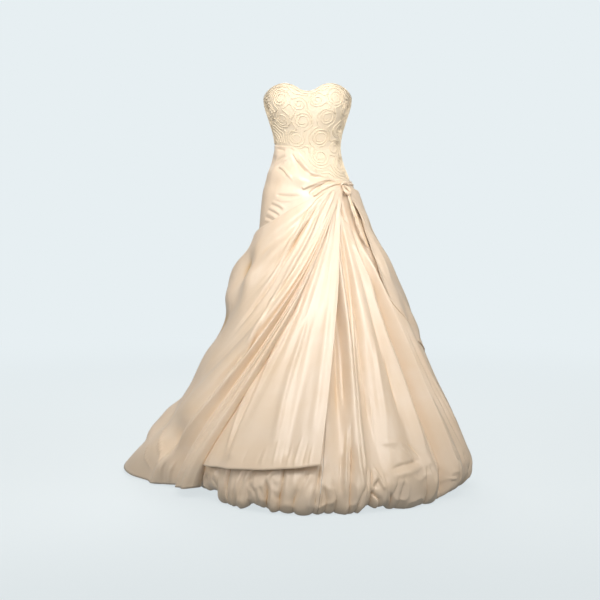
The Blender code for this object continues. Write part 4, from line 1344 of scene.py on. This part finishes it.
def add_skirt(sizes, colours):
    material = duchess_satin(colours)
    seams = [puff_middle(azimuth) for azimuth in (-90, 0, 90, 180)]
    puckers = hem_puckers()
    for node, low, high, columns, rows in (
        ("skirt_front_left", seams[0], seams[1], 190, 80),
        ("skirt_front_right", seams[1], seams[2], 300, 150),
        ("skirt_back_right", seams[2], seams[3], 180, 100),
        ("skirt_back_left", seams[3], seams[0] + 360, 130, 60),
    ):
        creases = (*SKIRT_CREASES, *HEM_CREASES, *puckers)
        points = skirt_points(low, high, columns, rows, creases)
        panel(node, points, sizes.satin_thickness, material, "ivory_satin", "hip_yoke_front")


def add_overskirt(sizes, colours):
    material = duchess_satin(colours)
    gap = seam_angle(0.05)
    left_seam = SIDE_SEAM_GUIDES + (gap, 0, 0, 0)
    back_seam = SIDE_SEAM_GUIDES + (360 - gap, 0, 0, 0)
    train = [((*TRAIN_GUIDES, left_seam[0]), 195), (left_seam, 45)]
    back = [((*BACK_GUIDES, back_seam[0]), 180), (back_seam, 40)]
    thickness = sizes.satin_thickness
    for node, tables, rows, start, lift, reach, sweep, creases, gathers in (
        ("front_flap", [(FLAP_GUIDES, 180)], 150, 0.0, 0.0, 1.0, 0.0, FLAP_CREASES, 0.0),
        ("train_drape", train, 140, 0.0030, 0.007, 0.0001, 0.0, TRAIN_CREASES, 0.0),
        ("back_drape", back, 110, 0.0016, 0.007, 0.130, 31.0, (), 0.005),
    ):
        points = fan_points(tables, rows, start, lift, reach, sweep, creases, gathers)
        panel(node, points, thickness, material, "ivory_satin", "knot_ring", "knot_band")


def add_knot(sizes, colours):
    material = duchess_satin(colours)
    for name, rings, closed in (
        ("knot_ring", ring_rings(), True),
        ("knot_band", band_rings(), False),
        ("knot_tail", tail_rings(), False),
    ):
        dress(ring_mesh(f"{name}_cloth", rings, material, closed), "ivory_satin", name)


def ring_rings():
    """The gathered ring: a fat loop of cloth, drawn in and wrinkled across."""
    centre, side, up, out = surface_frame(KNOT_AZIMUTH, KNOT_HEIGHT - 0.012, KNOT_LIFT)
    rings = []
    for angle in np.linspace(0, 2 * math.pi, 96, endpoint=False):
        away = side * math.cos(angle) + up * math.sin(angle)
        middle = centre + side * (RING_HALF_WIDTH * math.cos(angle))
        middle = middle + up * (RING_HALF_HEIGHT * math.sin(angle))
        middle = middle - out * (RING_TILT * math.sin(angle))
        turn = np.linspace(0, 2 * math.pi, 28, endpoint=False)
        twist = turn + 1.1 * angle
        folds = 0.10 * np.sin(5 * twist) + 0.07 * np.sin(9 * twist + 2 * math.sin(2 * angle))
        size = RING_TUBE * (1 - 0.25 * math.sin(angle)) * (1 + folds)
        rings.append(
            middle
            + away * (size * np.cos(turn))[:, None]
            + out * (size * np.sin(turn))[:, None]
        )
    return np.array(rings)


def band_rings():
    """The gathered roll over the ring: three plump pleats side by side."""
    rings = []
    for along in np.linspace(-1, 1, 72):
        turn_by = math.degrees(along * BAND_SPAN / 2 / 0.14)
        height = KNOT_HEIGHT + 0.0106 - 0.008 * along**2
        centre, side, up, out = surface_frame(KNOT_AZIMUTH + turn_by, height, BAND_LIFT)
        size = BAND_TUBE * (1 - 0.35 * abs(along) + 0.16 * math.cos(3 * math.pi * along))
        turn = np.linspace(0, 2 * math.pi, 28, endpoint=False)
        folds = 1 + 0.12 * np.cos(4 * turn + 2.2 * along) + 0.06 * np.cos(7 * turn - 5 * along)
        size = size * folds * math.sqrt(max(0.04, 1 - (abs(along) ** 8)))
        rings.append(
            centre + up * (size * np.cos(turn))[:, None] + out * (size * np.sin(turn))[:, None]
        )
    return np.array(rings)


def tail_rings():
    """The ragged end of the cloth that hangs from the knot, folded along its middle."""
    places = np.linspace(0, len(TAIL_LINE) - 1, 80)
    line = curve_through(np.arange(len(TAIL_LINE)), TAIL_LINE, places)
    turn = np.linspace(-1, 1, 15)
    rings = []
    for step, (azimuth, height, lift, half_width) in enumerate(line):
        centre, side, up, out = surface_frame(azimuth, height, lift)
        wide = half_width * (1 + 0.14 * math.sin(0.33 * step) + 0.06 * math.sin(0.91 * step))
        fold = half_width * 0.55 * np.cos(turn * math.pi / 2) ** 1.5
        fold = fold + 0.0009 * np.sin(turn * 9 + 0.11 * step) - 0.0012 * np.abs(turn)
        face = centre + side * (wide * turn)[:, None] + out * fold[:, None]
        behind = face - out * 0.0022
        rings.append(np.concatenate([face, behind[::-1]]))
    return np.array(rings)


# The stage

CAMERA_AWAY = 5.0
CAMERA_HEIGHT = 1.05
CAMERA_PITCH = 4.88
CAMERA_YAW = math.atan(0.005)
LENS = 90
LAMP_WHITE = (1.0, 0.97, 0.94)
SUN_WHITE = (1.0, 0.97, 0.93)
FILL_LIGHT = (0.31, 0.295, 0.27, 1.0)
LAMPS = (
    # name, watts, size, spread in degrees, place, what it points at
    ("top", 14.2, (1.6, 0.6), 120, (0.05, -1.6, 0.75), (0, 0, 0.1)),
    ("left", 1.2, (0.9, 0.9), 45, (-2.0, -1.5, 0.6), (-0.05, -0.05, 0.05)),
    ("right", 2.4, (0.9, 0.9), 80, (2.0, -1.4, 0.5), (0.1, -0.05, -0.2)),
    ("train", 1.0, (0.5, 0.5), 36, (-1.5, -2.2, -0.2), (-0.62, 0.0, -1.0)),
    ("behind", 34, (2.4, 1.6), 120, (-0.4, 3.2, 1.3), (0, 0, -0.5)),
)


def turn_towards(piece, way):
    piece.rotation_euler = Vector(way).to_track_quat("-Z", "Y").to_euler()


def area_light(name, energy, size, spread, place_at, look_at):
    light = bpy.data.lights.new(name, "AREA")
    light.shape = "RECTANGLE"
    light.size, light.size_y = size
    light.energy = energy
    light.color = LAMP_WHITE
    light.spread = math.radians(spread)
    lamp = place(bpy.data.objects.new(name, light))
    lamp.location = place_at
    turn_towards(lamp, Vector(look_at) - Vector(place_at))


def add_stage(colours):
    scene = bpy.context.scene
    low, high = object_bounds()
    mesh = bpy.data.meshes.new("studio_floor")
    shaping = bmesh.new()
    bmesh.ops.create_grid(shaping, x_segments=8, y_segments=8, size=30)
    shaping.to_mesh(mesh)
    shaping.free()
    floor = place(bpy.data.objects.new("studio_floor", mesh))
    floor.location.z = low.z - 0.0005
    made = bpy.data.materials.new("studio_paper")
    made.use_nodes = True
    tree = made.node_tree
    paper = tree.nodes["Principled BSDF"]
    paper.inputs["Roughness"].default_value = 0.95
    paper.inputs["Specular IOR Level"].default_value = 0.1
    spot = add(tree, "ShaderNodeTexCoord").outputs["Object"]
    away = add(tree, "ShaderNodeVectorMath", {"operation": "LENGTH"}, {0: spot}).outputs["Value"]
    far = add(
        tree,
        "ShaderNodeMapRange",
        {"interpolation_type": "SMOOTHSTEP"},
        {"Value": away, "From Min": 0.5, "From Max": 4.5, "To Min": 0.80, "To Max": 1.0},
    ).outputs["Result"]
    seen = add(tree, "ShaderNodeLightPath").outputs["Is Camera Ray"]
    shade = add(
        tree,
        "ShaderNodeMix",
        {"data_type": "RGBA"},
        {0: seen, 6: (*(0.4 * c for c in colours.floor), 1.0), 7: (*colours.floor, 1.0)},
    ).outputs[2]
    tree.links.new(shade, paper.inputs["Base Color"])
    dim = add(tree, "ShaderNodeMapRange", links={"Value": seen, "To Min": 0.22, "To Max": 1.0})
    glow = add(
        tree,
        "ShaderNodeEmission",
        links={"Color": (*colours.backdrop, 1.0), "Strength": dim.outputs["Result"]},
    )
    both = add(
        tree,
        "ShaderNodeMixShader",
        links={0: far, 1: paper.outputs["BSDF"], 2: glow.outputs["Emission"]},
    )
    tree.links.new(both.outputs["Shader"], tree.nodes["Material Output"].inputs["Surface"])
    mesh.materials.append(made)
    floor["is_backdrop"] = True

    world = bpy.data.worlds.new("studio")
    world.use_nodes = True
    tree = world.node_tree
    seen = add(tree, "ShaderNodeLightPath").outputs["Is Camera Ray"]
    light = add(
        tree,
        "ShaderNodeMix",
        {"data_type": "RGBA"},
        {0: seen, 6: FILL_LIGHT, 7: (*colours.backdrop, 1.0)},
    ).outputs[2]
    tree.links.new(light, tree.nodes["Background"].inputs["Color"])
    scene.world = world
    for lamp in LAMPS:
        area_light(*lamp)
    sun = bpy.data.lights.new("front", "SUN")
    sun.energy = 0.4
    sun.angle = math.radians(24)
    sun.color = SUN_WHITE
    turn_towards(place(bpy.data.objects.new("front", sun)), (-0.1, 1.0, -0.75))
    scene.view_settings.view_transform = "Standard"

    lens = bpy.data.cameras.new("photo_camera")
    lens.sensor_width = 36
    lens.lens = LENS
    lens.clip_end = 100
    camera = place(bpy.data.objects.new("photo_camera", lens))
    camera.location = (0, -CAMERA_AWAY, CAMERA_HEIGHT - WAIST_HEIGHT)
    pitch, yaw = math.radians(CAMERA_PITCH), CAMERA_YAW
    turn_towards(camera, (-math.sin(yaw), math.cos(yaw) * math.cos(pitch), -math.sin(pitch)))
    scene.camera = camera


# The add-on


def size_property(name, description, size, low, high):
    return bpy.props.FloatProperty(
        name=name, description=description, default=size, min=low, max=high, precision=4,
        subtype="DISTANCE", unit="LENGTH",
    )


class GownSizes(bpy.types.PropertyGroup):
    """Sizes of the gown's cloth and trimmings."""

    satin_thickness: size_property(
        "Satin thickness", "How thick the satin is with its lining", SATIN, 0.001, 0.003
    )
    ribbon_thickness: size_property(
        "Ribbon thickness", "How thick the gathered ribbon stands on its edge", 0.0022, 0.001, 0.004
    )
    ribbon_rise: size_property(
        "Ribbon rise", "How far the ribbon stands out of the bodice", 0.0020, 0.001, 0.008
    )
    ribbon_spacing: size_property(
        "Ribbon spacing", "How far apart neighbouring ribbons run", 0.0092, 0.006, 0.02
    )
    button_radius: size_property(
        "Button radius", "Half the width of a covered button", BUTTON_RADIUS, 0.003, 0.009
    )


def colour_property(name, description, colour):
    return bpy.props.FloatVectorProperty(
        name=name, description=description, default=linear(colour), min=0, max=1, subtype="COLOR"
    )


class GownColours(bpy.types.PropertyGroup):
    """Colours of the gown and its stage."""

    satin: colour_property("Satin", "The satin where it lies open", "#EEDBC5")
    # Painted shade: the golden colour the satin's folds take from light going from cloth to cloth
    satin_fold_shade: colour_property("Satin in folds", "The satin deep in its folds", "#D9B174")
    lace: colour_property("Lace", "The bodice's lace", "#ECDEC7")
    # Painted shade: the colour the lace takes in its hollows; the ribbon's random tone also leans
    # towards it
    lace_fold_shade: colour_property("Lace shade", "The lace and ribbon in their hollows", "#DCC6A2")
    ribbon: colour_property("Ribbon", "The ribbon applique", "#F3E6CE")
    floor: colour_property("Floor", "The paper floor", "#E8EEF0")
    backdrop: colour_property("Backdrop", "The light all round the gown", "#E7EFF2")


def made_by(group, add_pieces):
    """Runs one part of the making, and stops the script if it can't finish."""
    scene = bpy.context.scene
    before = len(bpy.data.objects)
    if group == "stage":
        add_pieces(scene.gown_colours)
    else:
        add_pieces(scene.gown_sizes, scene.gown_colours)
    if len(bpy.data.objects) == before:
        raise RuntimeError(f"{group} made nothing")
    return {"FINISHED"}


class GOWN_OT_stage(bpy.types.Operator):
    """Lay the paper floor and set the studio light and the camera"""

    bl_idname = "gown.stage"
    bl_label = "Stage"

    def execute(self, context):
        return made_by("stage", add_stage)


class GOWN_OT_bodice(bpy.types.Operator):
    """Make the bodice's three panels of lace over boned lining"""

    bl_idname = "gown.bodice"
    bl_label = "Bodice"

    def execute(self, context):
        return made_by("bodice", add_bodice)


class GOWN_OT_ribbons(bpy.types.Operator):
    """Sew the ribbon rosettes and arcs on the bodice"""

    bl_idname = "gown.ribbons"
    bl_label = "Ribbons"

    def execute(self, context):
        return made_by("ribbons", add_ribbons)


class GOWN_OT_buttons(bpy.types.Operator):
    """Sew the covered buttons on the centre back"""

    bl_idname = "gown.buttons"
    bl_label = "Buttons"

    def execute(self, context):
        return made_by("buttons", add_buttons)


class GOWN_OT_yoke(bpy.types.Operator):
    """Lay the slanted hip yoke over the bodice's foot"""

    bl_idname = "gown.yoke"
    bl_label = "Hip yoke"

    def execute(self, context):
        return made_by("yoke", add_yoke)


class GOWN_OT_skirt(bpy.types.Operator):
    """Hang the skirt's four gores with their bubble hem"""

    bl_idname = "gown.skirt"
    bl_label = "Skirt"

    def execute(self, context):
        return made_by("skirt", add_skirt)


class GOWN_OT_overskirt(bpy.types.Operator):
    """Hang the overskirt's flap, train and back from the knot"""

    bl_idname = "gown.overskirt"
    bl_label = "Overskirt"

    def execute(self, context):
        return made_by("overskirt", add_overskirt)


class GOWN_OT_knot(bpy.types.Operator):
    """Draw the overskirt together with the knot, its roll and its tail"""

    bl_idname = "gown.knot"
    bl_label = "Knot"

    def execute(self, context):
        return made_by("knot", add_knot)


STEPS = ("stage", "bodice", "ribbons", "buttons", "yoke", "skirt", "overskirt", "knot")


class GOWN_PT_making(bpy.types.Panel):
    """The gown's sizes, colours and making steps"""

    bl_label = "Gown"
    bl_idname = "GOWN_PT_making"
    bl_space_type = "VIEW_3D"
    bl_region_type = "UI"
    bl_category = "Gown"

    def draw(self, context):
        layout = self.layout
        for group in (context.scene.gown_sizes, context.scene.gown_colours):
            for name in group.__annotations__:
                layout.prop(group, name)
        for step in STEPS:
            layout.operator(f"gown.{step}")


CLASSES = (
    GownSizes,
    GownColours,
    GOWN_OT_stage,
    GOWN_OT_bodice,
    GOWN_OT_ribbons,
    GOWN_OT_buttons,
    GOWN_OT_yoke,
    GOWN_OT_skirt,
    GOWN_OT_overskirt,
    GOWN_OT_knot,
    GOWN_PT_making,
)


def register():
    for made in CLASSES:
        bpy.utils.register_class(made)
    bpy.types.Scene.gown_sizes = bpy.props.PointerProperty(type=GownSizes)
    bpy.types.Scene.gown_colours = bpy.props.PointerProperty(type=GownColours)


def unregister():
    del bpy.types.Scene.gown_colours
    del bpy.types.Scene.gown_sizes
    for made in reversed(CLASSES):
        bpy.utils.unregister_class(made)


def main():
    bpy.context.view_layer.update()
    register()
    for step in STEPS:
        getattr(bpy.ops.gown, step)()


if __name__ == "__main__":
    main()
